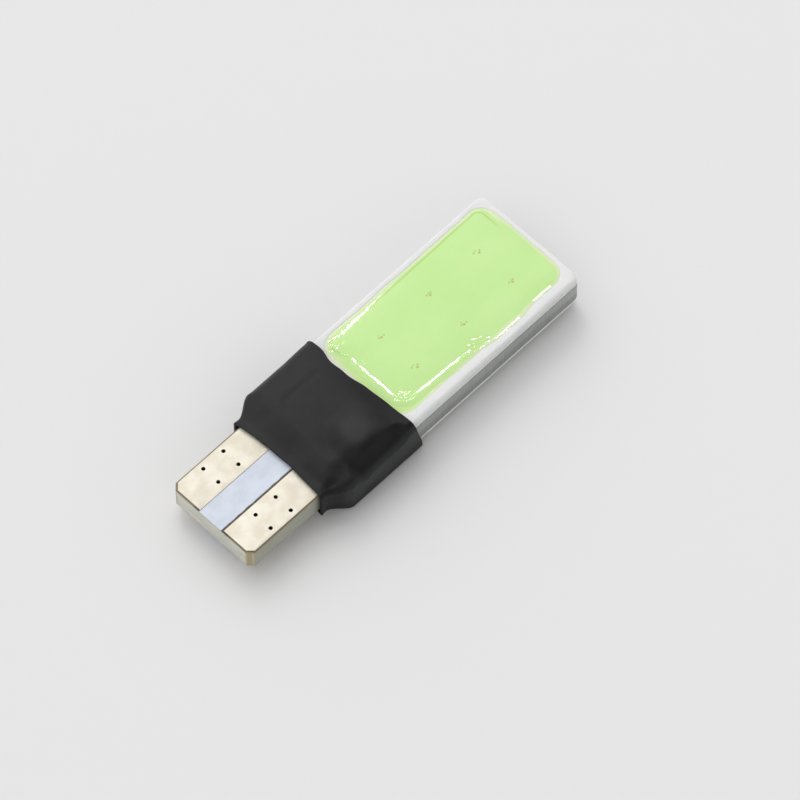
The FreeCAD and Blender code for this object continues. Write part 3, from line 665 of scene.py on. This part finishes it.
def mesh_object(mesh: BMesh, name: str, material: Material) -> Object:
    """New object of a mesh in metres, which is freed."""
    data = bpy.data.meshes.new(name)
    mesh.to_mesh(data)
    mesh.free()
    data.materials.append(material)
    return linked(name, data)


def finished_piece(mesh: BMesh, name: str, slot: str, node: str, smooth_angle: float) -> None:
    """Turn a mesh in millimetres into a piece that rides on the lamp's body.

    Args:
        mesh: the mesh, which is freed.
        name: name of the piece.
        slot: material slot that it takes its finish from.
        node: node of the frame that it stands for.
        smooth_angle: angle in degrees over which an edge stays sharp.
    """
    bmesh.ops.transform(mesh, matrix=Matrix.Scale(MM, 4), verts=mesh.verts)
    piece = mesh_object(mesh, name, FINISHES[slot].material())
    for polygon in piece.data.polygons:
        polygon.use_smooth = True
    piece.data.set_sharp_from_angle(angle=math.radians(smooth_angle))
    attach(piece, BODY)
    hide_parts(node)
    LOG.info("%s: %d faces, stands for %s", name, len(piece.data.polygons), node)


def mesh_of(node: str) -> BMesh:
    """Copy of a node's mesh in millimetres, merged and cleared of the seams in its flat faces."""
    mesh = bmesh.new()
    mesh.from_mesh(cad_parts[node].data)
    bmesh.ops.transform(mesh, matrix=Matrix.Scale(1.0 / MM, 4), verts=mesh.verts)
    bmesh.ops.remove_doubles(mesh, verts=mesh.verts, dist=0.001)
    flat = math.radians(0.5)
    bmesh.ops.dissolve_limit(mesh, angle_limit=flat, verts=mesh.verts, edges=mesh.edges)
    return mesh


def soften(mesh: BMesh, width: float, shortest: float = 0.0) -> None:
    """Round the sharp edges.

    Args:
        mesh: the mesh.
        width: width of the rounding, in millimetres.
        shortest: length up to which an edge is left sharp, in millimetres.
    """
    sharp = math.radians(35.0)
    edges = [
        edge
        for edge in mesh.edges
        if edge.is_manifold and edge.calc_face_angle() > sharp and edge.calc_length() > shortest
    ]
    bmesh.ops.bevel(
        mesh,
        geom=edges,
        offset=width,
        offset_type="OFFSET",
        affect="EDGES",
        segments=3,
        profile=0.5,
        material=-1,
        clamp_overlap=True,
    )


def softened_piece(node: str, name: str, slot: str, width: float, shortest: float = 0.0) -> None:
    """Piece in the shape of its node, with its sharp edges rounded as soften does it."""
    mesh = mesh_of(node)
    soften(mesh, width, shortest)
    finished_piece(mesh, name, slot, node, 40.0)


def sheet(
    columns: int, rows: int, place: Callable[[float, float], Vector], weld: float = 0.0005
) -> BMesh:
    """Grid whose vertices are put in place by their shares along its columns and rows.

    Args:
        columns: divisions along the first share.
        rows: divisions along the second.
        place: point for each pair of shares, in millimetres.
        weld: distance under which vertices merge, which closes the sheet where its edges meet.

    Returns:
        The sheet.
    """
    mesh = bmesh.new()
    bmesh.ops.create_grid(mesh, x_segments=columns, y_segments=rows, size=0.5)
    for vertex in mesh.verts:
        vertex.co = place(vertex.co.x + 0.5, vertex.co.y + 0.5)
    bmesh.ops.remove_doubles(mesh, verts=mesh.verts, dist=weld)
    bmesh.ops.recalc_face_normals(mesh, faces=mesh.faces)
    return mesh


def fill_open_edges(mesh: BMesh) -> None:
    """Close every hole of a mesh and turn its faces outwards."""
    bmesh.ops.holes_fill(mesh, edges=[e for e in mesh.edges if e.is_boundary], sides=0)
    bmesh.ops.recalc_face_normals(mesh, faces=mesh.faces)


def turn_over(mesh: BMesh) -> None:
    """Turn a mesh of the front over onto the rear, about the lamp's middle plane."""
    raised = Matrix.Translation((0, 0, MIDDLE_PLANE))
    matrix = raised @ Matrix.Rotation(math.pi, 4, "X") @ raised.inverted()
    bmesh.ops.transform(mesh, matrix=matrix, verts=mesh.verts)


@dataclass(frozen=True)
class Outline:
    """Rounded rectangle round the lit window, walked by a share from 0 to 1."""

    low_x: float
    high_x: float
    low_y: float
    high_y: float
    corner: float
    # Share of the way round that each corner and each long side takes
    corner_share: float = 0.07
    side_share: float = 0.29

    def inset(
        self, near: float, far: float, left: float, right: float, corner: float
    ) -> "Outline":
        """Outline drawn in from each side, with a corner of its own."""
        low_y, high_y = self.low_y + right, self.high_y - left
        return Outline(self.low_x + near, self.high_x - far, low_y, high_y, corner)

    def middle(self) -> Vector:
        """Middle of the outline."""
        return Vector((0.5 * (self.low_x + self.high_x), 0.5 * (self.low_y + self.high_y), 0))

    def point(self, share: float) -> Vector:
        """Point at a share of the way round, at height 0.

        Each side and each corner takes a fixed share, so that two outlines of unlike size have
        their corners at the same shares.

        Args:
            share: share of the way round, from the middle of the near end, right side first.

        Returns:
            The point.
        """
        corner, side = self.corner_share, self.side_share
        end = 0.5 - side - 2 * corner
        near, far = self.low_x + self.corner, self.high_x - self.corner
        right, left = self.low_y + self.corner, self.high_y - self.corner
        start = (near, self.middle().y)
        centres = ((near, right), (far, right), (far, left), (near, left))
        # Legs of the walk: share, centre at the start and at the end, quarter turns at both
        legs = [(end / 2, start, centres[0], 2, 2)]
        for number, (centre, length) in enumerate(zip(centres, (side, end, side, end / 2))):
            following = centres[number + 1] if number < 3 else start
            turn = number + 2
            legs.append((corner, centre, centre, turn, turn + 1))
            legs.append((length, centre, following, turn + 1, turn + 1))
        remaining = min(max(share, 0.0), 1.0)
        while len(legs) > 1 and remaining > legs[0][0] + 1e-9:
            remaining -= legs.pop(0)[0]
        length, first, second, turn, last_turn = legs[0]
        part = min(remaining / length, 1.0)
        angle = 0.5 * math.pi * (turn + (last_turn - turn) * part)
        along = first[0] + (second[0] - first[0]) * part + math.cos(angle) * self.corner
        across = first[1] + (second[1] - first[1]) * part + math.sin(angle) * self.corner
        return Vector((along, across, 0))


# Wedge base


@dataclass
class WedgeBase:
    """Laminate board with its contacts and printed stripes."""

    edge_round: float = 0.06
    foil_round: float = 0.03
    via_reach: float = 0.3
    stripe_low: float = -1.03
    stripe_high: float = 1.205
    stripe_rough: float = 0.03
    stripe_columns: int = 120
    # Shares of the stripe's half width and of its height, round its section
    stripe_profile: tuple[tuple[float, float], ...] = (
        (-1.0, 0.0), (-1.0, 0.6), (-0.97, 1.0), (0.0, 1.0), (0.97, 1.0), (1.0, 0.6), (1.0, 0.0),
        (-1.0, 0.0),
    )

    def build(self) -> None:
        """Build every piece."""
        softened_piece("base_board", "board", "laminate", self.edge_round, self.via_reach)
        for side in Side:
            node, name = f"{side.value}_contact", f"{side.value}_contact_foil"
            softened_piece(node, name, "tin_plating", self.foil_round, self.via_reach)
        for face in Face:
            self.build_stripe(face)

    def build_stripe(self, face: Face) -> None:
        """Printed stripe with slightly uneven sides and a soft crown."""
        node = f"{face.value}_mask_stripe"
        box = Box.of(node)
        is_front = face is Face.FRONT
        bottom, top = (box.low.z, box.high.z) if is_front else (box.high.z, box.low.z)
        middle = (self.stripe_low + self.stripe_high) / 2 * face.sign
        half = (self.stripe_high - self.stripe_low) / 2
        last = len(self.stripe_profile) - 1

        def place(share: float, turn: float) -> Vector:
            """Point of the stripe's skin."""
            along = box.low.x + share * (box.high.x - box.low.x)
            across, height = self.stripe_profile[round(turn * last)]
            rough = self.stripe_rough * wander(along, across * 9, 0.5, 3.0 * face.sign)
            up = bottom + height * (top - bottom)
            return Vector((along, middle + across * (half + rough), up))

        mesh = sheet(self.stripe_columns, last, place)
        fill_open_edges(mesh)
        finished_piece(mesh, f"{face.value}_stripe", "pale_mask", node, 12.0)


# Lit plate


@dataclass(eq=False)
class LitPlate:
    """Aluminium plate with a white layer, a silicone dam and a gel window on each face."""

    plate_round: float = 0.06
    plate_corner: float = 0.7
    layer_round: float = 0.03
    dam_columns: int = 420
    # Width of the dam on each side, and how far the gel's border strays
    dam_left: float = 0.50
    dam_right: float = 0.86
    dam_near: float = 0.70
    dam_far: float = 0.42
    dam_rough: float = 0.07
    window_corner: float = 1.35
    # Outward bulge of the gel's right border, its place from the tip, and where it ends and is full
    bulge: float = 0.26
    bulge_at: float = 26.2
    bulge_reach: tuple[float, float] = (3.2, 0.8)
    # Shares across the bead from its outside to its inside, and shares of its height
    dam_profile: tuple[tuple[float, float], ...] = (
        (0.0, 0.0), (0.0, 0.35), (0.02, 0.6), (0.08, 0.8), (0.18, 0.93), (0.32, 0.99), (0.48, 1.0),
        (0.64, 0.995), (0.78, 0.98), (0.9, 0.96), (1.0, 0.93), (1.06, 0.8), (1.06, 0.0), (0.0, 0.0),
    )
    # Share of the dam's height at which the gel meets it, and the gel's crown over that
    gel_edge: float = 0.93
    dome_rise: float = 0.07
    gel_rings: int = 30
    # Power that sets the gel's rings closer together near its border
    ring_spread: float = 1.7
    gel_rough: float = 0.002

    def build(self) -> None:
        """Build every piece."""
        softened_piece("core_plate", "plate_core", "aluminium", self.plate_round)
        for face in Face:
            node, name = f"{face.value}_white_layer", f"{face.value}_insulation"
            softened_piece(node, name, "white_insulation", self.layer_round)
            self.build_dam(face)
            self.build_gel(face)

    @functools.cache
    def outer(self, face: Face) -> Outline:
        """Outer foot of the dam."""
        box = Box.of(f"{face.value}_dam")
        corner = self.plate_corner - (box.low.y - Box.of("core_plate").low.y)
        return Outline(box.low.x, box.high.x, box.low.y, box.high.y, corner)

    @functools.cache
    def inner(self, face: Face) -> Outline:
        """Line where the gel meets the dam."""
        widths = (self.dam_near, self.dam_far, self.dam_left, self.dam_right)
        return self.outer(face).inset(*widths, self.window_corner)

    def border_shift(self, point: Vector, face: Face) -> float:
        """How far the gel's border strays inwards at a point, in millimetres."""
        slow = wander(point.x, point.y, 2.2, 11.0 * face.sign)
        quick = wander(point.x, point.y, 0.7, 17.0 * face.sign)
        at_bulge = ease(abs(point.x - TIP - self.bulge_at), *self.bulge_reach)
        bulge = self.bulge * ease(point.y, -2.0, -3.5) * at_bulge
        return self.dam_rough * (slow + 0.4 * quick) - bulge

    def border(self, share: float, face: Face) -> Vector:
        """Point of the gel's uneven border at a share of the way round."""
        line = self.inner(face)
        point = line.point(share)
        gap = line.middle() - point
        inwards = Vector((
            max(min(gap.x, 1.0), -1.0) * ease(abs(gap.x), 5.5, 8.0),
            max(min(gap.y, 1.0), -1.0) * ease(abs(gap.y), 2.0, 4.0),
            0,
        ))
        return point + inwards * self.border_shift(point, face)

    def build_dam(self, face: Face) -> None:
        """Bead with a rounded crest that dips to the gel along an uneven line."""
        node = f"{face.value}_dam"
        foot = Box.of("front_dam").low.z
        height = Box.of("front_dam").high.z - foot
        outer = self.outer(face)
        last = len(self.dam_profile) - 1

        def place(share: float, turn: float) -> Vector:
            """Point of the bead's skin."""
            inside, up = self.dam_profile[round(turn * last)]
            point = outer.point(share).lerp(self.border(share, face), inside)
            rough = 0.03 * wander(point.x, point.y, 1.6, 5.0 * face.sign) * ease(up, 0.5, 0.9)
            point.z = foot + min(up * (1.0 + rough), 1.0) * height
            return point

        mesh = sheet(self.dam_columns, last, place)
        if face is Face.REAR:
            turn_over(mesh)
        finished_piece(mesh, f"{face.value}_dam_bead", "white_silicone", node, 60.0)

    def build_gel(self, face: Face) -> None:
        """Gel that meets the dam along its uneven border, with a shallow crown."""
        node = f"{face.value}_phosphor_gel"
        bottom = Box.of("front_dam").low.z
        crest = Box.of("front_dam").high.z
        edge_level = bottom + self.gel_edge * (crest - bottom)
        line = self.inner(Face.FRONT)
        half_y = 0.5 * (line.high_y - line.low_y)
        spine_start, spine_end = line.low_x + half_y, line.high_x - half_y

        def place(share: float, turn: float) -> Vector:
            """Point of the gel's top."""
            inwards = half_y * turn**self.ring_spread
            spine_x = min(max(line.point(share).x, spine_start), spine_end)
            spine = Vector((spine_x, line.middle().y, 0))
            squeeze = max(1.0 - inwards / half_y, 0.0)
            point = spine.lerp(self.border(share, face), squeeze)
            rough = self.gel_rough * wander(point.x, point.y, 1.6, 23.0 * face.sign)
            point.z = edge_level + self.dome_rise * ease(inwards, 0.3, 4.0)
            point.z += rough * ease(inwards, 0.0, 0.6)
            return point

        mesh = sheet(self.dam_columns, self.gel_rings, place, 0.002)
        rim = [e for e in mesh.edges if e.is_boundary]
        wall = bmesh.ops.extrude_edge_only(mesh, edges=rim)
        for vertex in wall["geom"]:
            if isinstance(vertex, BMVert):
                vertex.co.z = bottom
        fill_open_edges(mesh)
        if face is Face.REAR:
            turn_over(mesh)
        finished_piece(mesh, f"{face.value}_gel", "phosphor_gel", node, 40.0)


# Heat-shrink sleeve


@dataclass(frozen=True)
class Swell:
    """Soft rise or dip of the film over a footprint with rounded corners.

    Its middle is given from the wedge tip and from the axis. Round half of its length and width
    it fades out over a soft margin.
    """

    along: float
    across: float
    half_along: float
    half_across: float
    rise: float
    soft: float

    def at(self, along: float, across: float) -> float:
        """Rise at a place, in millimetres.

        Args:
            along: distance from the wedge tip.
            across: distance from the lamp's axis.

        Returns:
            The rise.
        """
        out_x = max(abs(along - self.along) - self.half_along, 0.0)
        out_y = max(abs(across - self.across) - self.half_across, 0.0)
        return self.rise * ease(math.hypot(out_x, out_y), self.soft, 0.0)


@dataclass
class ShrinkSleeve:
    """Black film shrunk over the driver, the tongue's root and the near end of the plate."""

    columns: int = 150
    round_steps: int = 260
    wall: float = 0.22
    rim_round: float = 0.09
    # Distances of the two rims from the wedge tip, before they waver
    mouth: float = 7.05
    far_rim: float = 15.24
    # Half widths of the mouth and of the body
    mouth_half: float = 4.45
    full_half: float = 5.42
    # Heights of the outside over the middle plane: at the mouth, over the board, over the dams,
    # and the highest, which is kept with a soft crown
    mouth_level: float = 1.37
    board_level: float = 1.88
    crest_level: float = 2.03
    highest: float = 2.39
    crown: float = 0.08
    # Corner radii at the mouth, and above and below along the body
    mouth_corner: float = 0.35
    top_corner: float = 0.75
    floor_corner: float = 0.6
    # Shares of the way down one side at which the top, shoulder, side and lower corner end
    section_shares: tuple[float, float, float, float] = (0.42, 0.56, 0.64, 0.76)
    swells: tuple[Swell, ...] = (
        # Over the resistor, with the groove beside it
        Swell(11.65, 3.9, 1.6, 0.8, 0.05, 0.8),
        Swell(11.9, 2.9, 1.5, 0.0, -0.045, 0.5),
        # Over the capacitor, with the valley before it
        Swell(12.15, -2.75, 0.3, 0.15, 0.62, 2.3),
        Swell(9.6, -4.6, 0.5, 0.2, -0.24, 1.5),
        # Slopes towards the sides, and the mouth's uneven ramp
        Swell(12.2, -5.4, 1.9, 0.4, -0.42, 1.1),
        Swell(12.2, 5.6, 2.6, 0.2, -0.2, 0.7),
        Swell(8.6, -2.4, 0.3, 0.5, 0.07, 1.0),
        Swell(7.9, -4.6, 0.2, 0.25, -0.16, 0.8),
    )

    def half_width(self, along: float, side: float) -> float:
        """Half of the sleeve's width at a distance from the wedge tip."""
        flare = 0.06 * ease(along, 7.5, 6.7)
        spread = ease(along, 7.1, 9.1 if side > 0 else 9.2)
        return self.mouth_half + flare + spread * (self.full_half - self.mouth_half)

    def mouth_line(self, across: float) -> float:
        """Distance from the wedge tip to the mouth's edge."""
        bow = 0.32 * abs(across / self.mouth_half) ** 2.4
        return self.mouth - bow + 0.05 * wander(across, 0.0, 1.5, 31.0)

    def far_line(self, across: float, up: float) -> float:
        """Distance from the wedge tip to the far edge.

        Args:
            across: distance from the lamp's axis.
            up: height over the middle plane.

        Returns:
            The distance, in millimetres.
        """
        skew = -0.052 * across
        dip = -0.22 * ease(abs(across - 2.9), 1.4, 0.0) - 0.2 * ease(abs(across - 1.2), 1.7, 0.0)
        dip += 0.21 * ease(across, 2.3, 4.0)
        lean = 0.62 * ease(up, 2.0, -1.6) * (0.6 + 0.4 * ease(across, 4.0, -5.0))
        waves = 0.06 * wander(across, up, 1.4, 37.0)
        return self.far_rim + skew + dip + lean + waves

    def top(self, along: float, across: float) -> float:
        """Height of the film's outside over the middle plane, on top of the lamp."""
        level = self.mouth_level
        level += (self.board_level - self.mouth_level) * ease(along, 7.2, 9.7)
        level += (self.crest_level - self.board_level) * ease(along, 12.5, 14.6)
        level += sum(swell.at(along, across) for swell in self.swells)
        over = math.exp((self.highest - level) / self.crown)
        level = self.highest - self.crown * math.log1p(over)
        coarse = 0.014 * wander(along, across, 1.1, 41.0)
        fine = 0.004 * wander(along, across, 0.4, 43.0)
        return level + (coarse + fine) * ease(along, 6.9, 8.0)

    def under(self, along: float) -> float:
        """Depth of the film's outside under the middle plane, beneath the lamp."""
        return self.mouth_level + (MIDDLE_PLANE - self.mouth_level) * ease(along, 7.1, 9.3)

    def section(self, along: float, turn: float) -> tuple[float, float]:
        """Point of the sleeve's section at a station.

        Args:
            along: distance from the wedge tip.
            turn: share of the way round, from the middle of the top, left side first.

        Returns:
            Distances across and up from the lamp's axis.
        """
        side = 1.0 if turn < 0.5 else -1.0
        share = 2.0 * turn if turn < 0.5 else 2.0 * (1.0 - turn)
        half = self.half_width(along, side)
        depth = self.under(along)
        full = ease(along, 7.2, 9.4)
        upper = self.mouth_corner + (self.top_corner - self.mouth_corner) * full
        lower = self.mouth_corner + (self.floor_corner - self.mouth_corner) * full
        flat = half - upper
        top_end, shoulder_end, side_end, corner_end = self.section_shares
        if share < top_end:
            across = side * flat * share / top_end
            return across, self.top(along, across)
        if share < shoulder_end:
            angle = 0.5 * math.pi * (share - top_end) / (shoulder_end - top_end)
            across = side * (flat + upper * math.sin(angle))
            return across, self.top(along, across) - upper * (1 - math.cos(angle))
        if share < side_end:
            drop = (share - shoulder_end) / (side_end - shoulder_end)
            high, low = self.top(along, side * half) - upper, lower - depth
            return side * half, high + (low - high) * drop
        if share < corner_end:
            angle = 0.5 * math.pi * (share - side_end) / (corner_end - side_end)
            across = half - lower + lower * math.cos(angle)
            return side * across, -depth + lower - lower * math.sin(angle)
        remaining = 1.0 - (share - corner_end) / (1.0 - corner_end)
        return side * (half - lower) * remaining, -depth

    def place(self, share: float, turn: float) -> Vector:
        """Point of the sleeve's outside.

        The section at a straight sleeve's station tells which rims this turn runs between.
        """
        across, up = self.section(7.0 + 8.4 * share, turn)
        start = self.mouth_line(across)
        end = self.far_line(across, up)
        along = start + (end - start) * share
        across, up = self.section(along, turn)
        return Vector((TIP + along, across, MIDDLE_PLANE + up))

    def build(self) -> None:
        """Roll the sheet, give it its wall and round its rims."""
        mesh = sheet(self.columns, self.round_steps, self.place)
        bmesh.ops.solidify(mesh, geom=list(mesh.faces), thickness=self.wall)
        bmesh.ops.recalc_face_normals(mesh, faces=mesh.faces)
        soften(mesh, self.rim_round)
        finished_piece(mesh, "shrink_sleeve", "black_film", "heat_shrink_sleeve", 50.0)


# Solder tails, insides of the plate and driver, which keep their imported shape

PLAIN_NODES = {
    "tin_plating": [f"{side.value}_board_tail" for side in Side],
    "led_chip": [f"{face.value}_chip_{number}" for face in Face for number in CHIP_NUMBERS],
    "bond_wire": [f"{face.value}_bond_wires" for face in Face],
    "copper_land": [f"{face.value}_{side.value}_land" for face in Face for side in Side],
    "solder": [f"{face.value}_{side.value}_solder_joint" for face in Face for side in Side],
    "capped_part": [
        "front_resistor", "filter_capacitor", "left_load_resistor", "right_load_resistor",
    ],
    "moulded_part": [
        "current_regulator",
        "left_near_diode", "left_far_diode", "right_near_diode", "right_far_diode",
    ],
}


def dress_plain_nodes() -> None:
    """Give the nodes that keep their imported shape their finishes."""
    for slot, nodes in PLAIN_NODES.items():
        for node in nodes:
            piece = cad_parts[node]
            piece.data.materials.clear()
            piece.data.materials.append(FINISHES[slot].material())
            LOG.info("%s: dressed as %s", node, slot)


# Studio


@dataclass(frozen=True)
class LampArc:
    """Small lamps placed by the lean of the surface that mirrors them to the camera.

    The ways in which that surface leans and its leans are in degrees, and the lamps' half width
    is in millimetres.
    """

    name: str
    first_way: float
    last_way: float
    low_lean: float
    high_lean: float
    along: int
    across: int
    half: float

    def leans(self) -> list[Vector]:
        """Normal of the surface that mirrors each lamp."""
        normals = []
        for column in range(self.along):
            for row in range(self.across):
                share_x = (column + 0.5 * (row % 2)) / max(self.along - 1, 1)
                share_y = row / max(self.across - 1, 1)
                way = math.radians(self.first_way + (self.last_way - self.first_way) * share_x)
                lean = math.radians(self.low_lean + (self.high_lean - self.low_lean) * share_y)
                flat = Vector((math.cos(way), math.sin(way), 0.0)) * math.sin(lean)
                normals.append(flat + Vector((0.0, 0.0, math.cos(lean))))
        return normals


@dataclass(frozen=True)
class Glow:
    """Soft round patch of the surroundings, full and faded out at angles in degrees."""

    middle: Triple
    faded: float
    full: float
    gain: float

    def strength(self, bench: Bench, direction: Signal) -> Signal:
        """What the patch adds to the light from a direction."""
        inputs = {0: direction, 1: Vector(self.middle).normalized()}
        kind = "ShaderNodeVectorMath"
        cosine = bench.node(kind, inputs, output="Value", operation="DOT_PRODUCT")
        edges = [math.cos(math.radians(angle)) for angle in (self.faded, self.full)]
        return cosine.step(*edges) * self.gain


@dataclass
class Studio:
    """Camera, pale floor and soft lights round the lamp."""

    azimuth: float = -45.383
    elevation: float = 61.009
    distance: float = 482.8
    aim_from_tip: float = 16.986
    aim_across: float = -2.2527
    lens: float = 300.0
    sensor: float = 36.0
    floor_colour: Colour = (0.80, 0.80, 0.80)
    ambient: float = 0.95
    glows: tuple[Glow, ...] = (
        Glow((0.20, 0.58, 0.79), 55.0, 12.0, 0.85),
        Glow((0.20, -0.33, 0.92), 40.0, 8.0, -0.7),
    )
    key_place: Triple = (420.0, 680.0, 800.0)
    key_size: float = 500.0
    key_power: float = 1.2
    lamp_distance: float = 620.0
    lamp_glow: float = 45.0
    lamp_arcs: tuple[LampArc, ...] = (
        LampArc("near_lamp", 180.0, 180.0, 7.8, 7.8, 1, 1, 4.0),
        LampArc("right_lamp", 270.0, 270.0, 7.8, 7.8, 1, 1, 4.0),
        LampArc("left_lamp", 90.0, 90.0, 7.8, 7.8, 1, 1, 4.0),
        LampArc("far_right_lamps", 275.0, 281.5, 7.8, 7.8, 3, 1, 4.0),
        LampArc("near_right_lamps", 189.0, 261.0, 5.4, 8.4, 9, 4, 2.6),
        LampArc("near_left_lamps", 99.0, 171.0, 5.4, 8.4, 9, 4, 2.6),
    )

    def build(self) -> None:
        """Set the studio up."""
        self.build_camera()
        self.build_floor()
        self.build_surroundings()
        self.build_key()
        for arc in self.lamp_arcs:
            self.add_lamps(arc)
        bpy.context.scene.view_settings.view_transform = "Standard"

    def backwards(self) -> Vector:
        """Direction from the lamp to the camera."""
        turn, tilt = math.radians(self.azimuth), math.radians(self.elevation)
        flat = Vector((math.sin(turn), -math.cos(turn), 0.0)) * math.cos(tilt)
        return flat + Vector((0.0, 0.0, math.sin(tilt)))

    def build_camera(self) -> None:
        """Camera at the angle that the grids of vias and chips give."""
        back = self.backwards()
        aim = Vector((TIP + self.aim_from_tip, self.aim_across, MIDDLE_PLANE))
        data = bpy.data.cameras.new("camera")
        data.lens = self.lens
        data.sensor_width = self.sensor
        data.clip_start = 0.01
        camera = linked("camera", data)
        camera.location = (aim + back * self.distance) * MM
        camera.rotation_euler = back.to_track_quat("Z", "Y").to_euler()
        bpy.context.scene.camera = camera

    def build_floor(self) -> None:
        """Wide pale floor on which the lamp lies."""
        mesh = bmesh.new()
        bmesh.ops.create_grid(mesh, x_segments=1, y_segments=1, size=1.0)
        bench = Bench(bpy.data.materials.new("floor"))
        material = bench.finish(base_color=(*self.floor_colour, 1.0), roughness=0.8)
        floor = mesh_object(mesh, "floor", material)

    def build_surroundings(self) -> None:
        """Even light from all round, with a bright patch to the left and a dark one to the right."""
        world = bpy.data.worlds.new("studio")
        bpy.context.scene.world = world
        bench = Bench(world)
        direction = bench.node("ShaderNodeTexCoord", output="Generated")
        strength = sum((glow.strength(bench, direction) for glow in self.glows), self.ambient)
        sky = bench.node("ShaderNodeBackground", {"Strength": strength})
        bench.node("ShaderNodeOutputWorld", {"Surface": sky})

    def build_key(self) -> None:
        """Soft square light from the left and behind, which no surface mirrors."""
        place = Vector(self.key_place)
        data = bpy.data.lights.new("key", "AREA")
        data.shape = "RECTANGLE"
        data.size = self.key_size * MM
        data.size_y = self.key_size * MM
        data.energy = self.key_power
        light = linked("key", data)
        light.location = place * MM
        light.rotation_euler = place.to_track_quat("Z", "Y").to_euler()
        light.visible_glossy = False

    def add_lamps(self, arc: LampArc) -> None:
        """Small square lamps round the lit plate, out of the camera's sight."""
        back = self.backwards()
        mesh = bmesh.new()
        for normal in arc.leans():
            direction = (2.0 * normal.dot(back) * normal - back).normalized()
            turn = direction.to_track_quat("Z", "Y").to_matrix().to_4x4()
            place = Matrix.Translation(direction * self.lamp_distance * MM) @ turn
            half = arc.half * MM
            bmesh.ops.create_grid(mesh, x_segments=1, y_segments=1, size=half, matrix=place)
        bench = Bench(bpy.data.materials.new(arc.name))
        light = bench.node("ShaderNodeEmission", {"Strength": self.lamp_glow})
        bench.node("ShaderNodeOutputMaterial", {"Surface": light})
        lamps = mesh_object(mesh, arc.name, bench.owner)
        lamps.visible_camera = False


def main() -> None:
    """Build the studio and every part of the lamp."""
    logging.basicConfig(level=logging.INFO, format="%(name)s: %(message)s")
    Studio().build()
    WedgeBase().build()
    LitPlate().build()
    ShrinkSleeve().build()
    dress_plain_nodes()


if __name__ == "__main__":
    main()
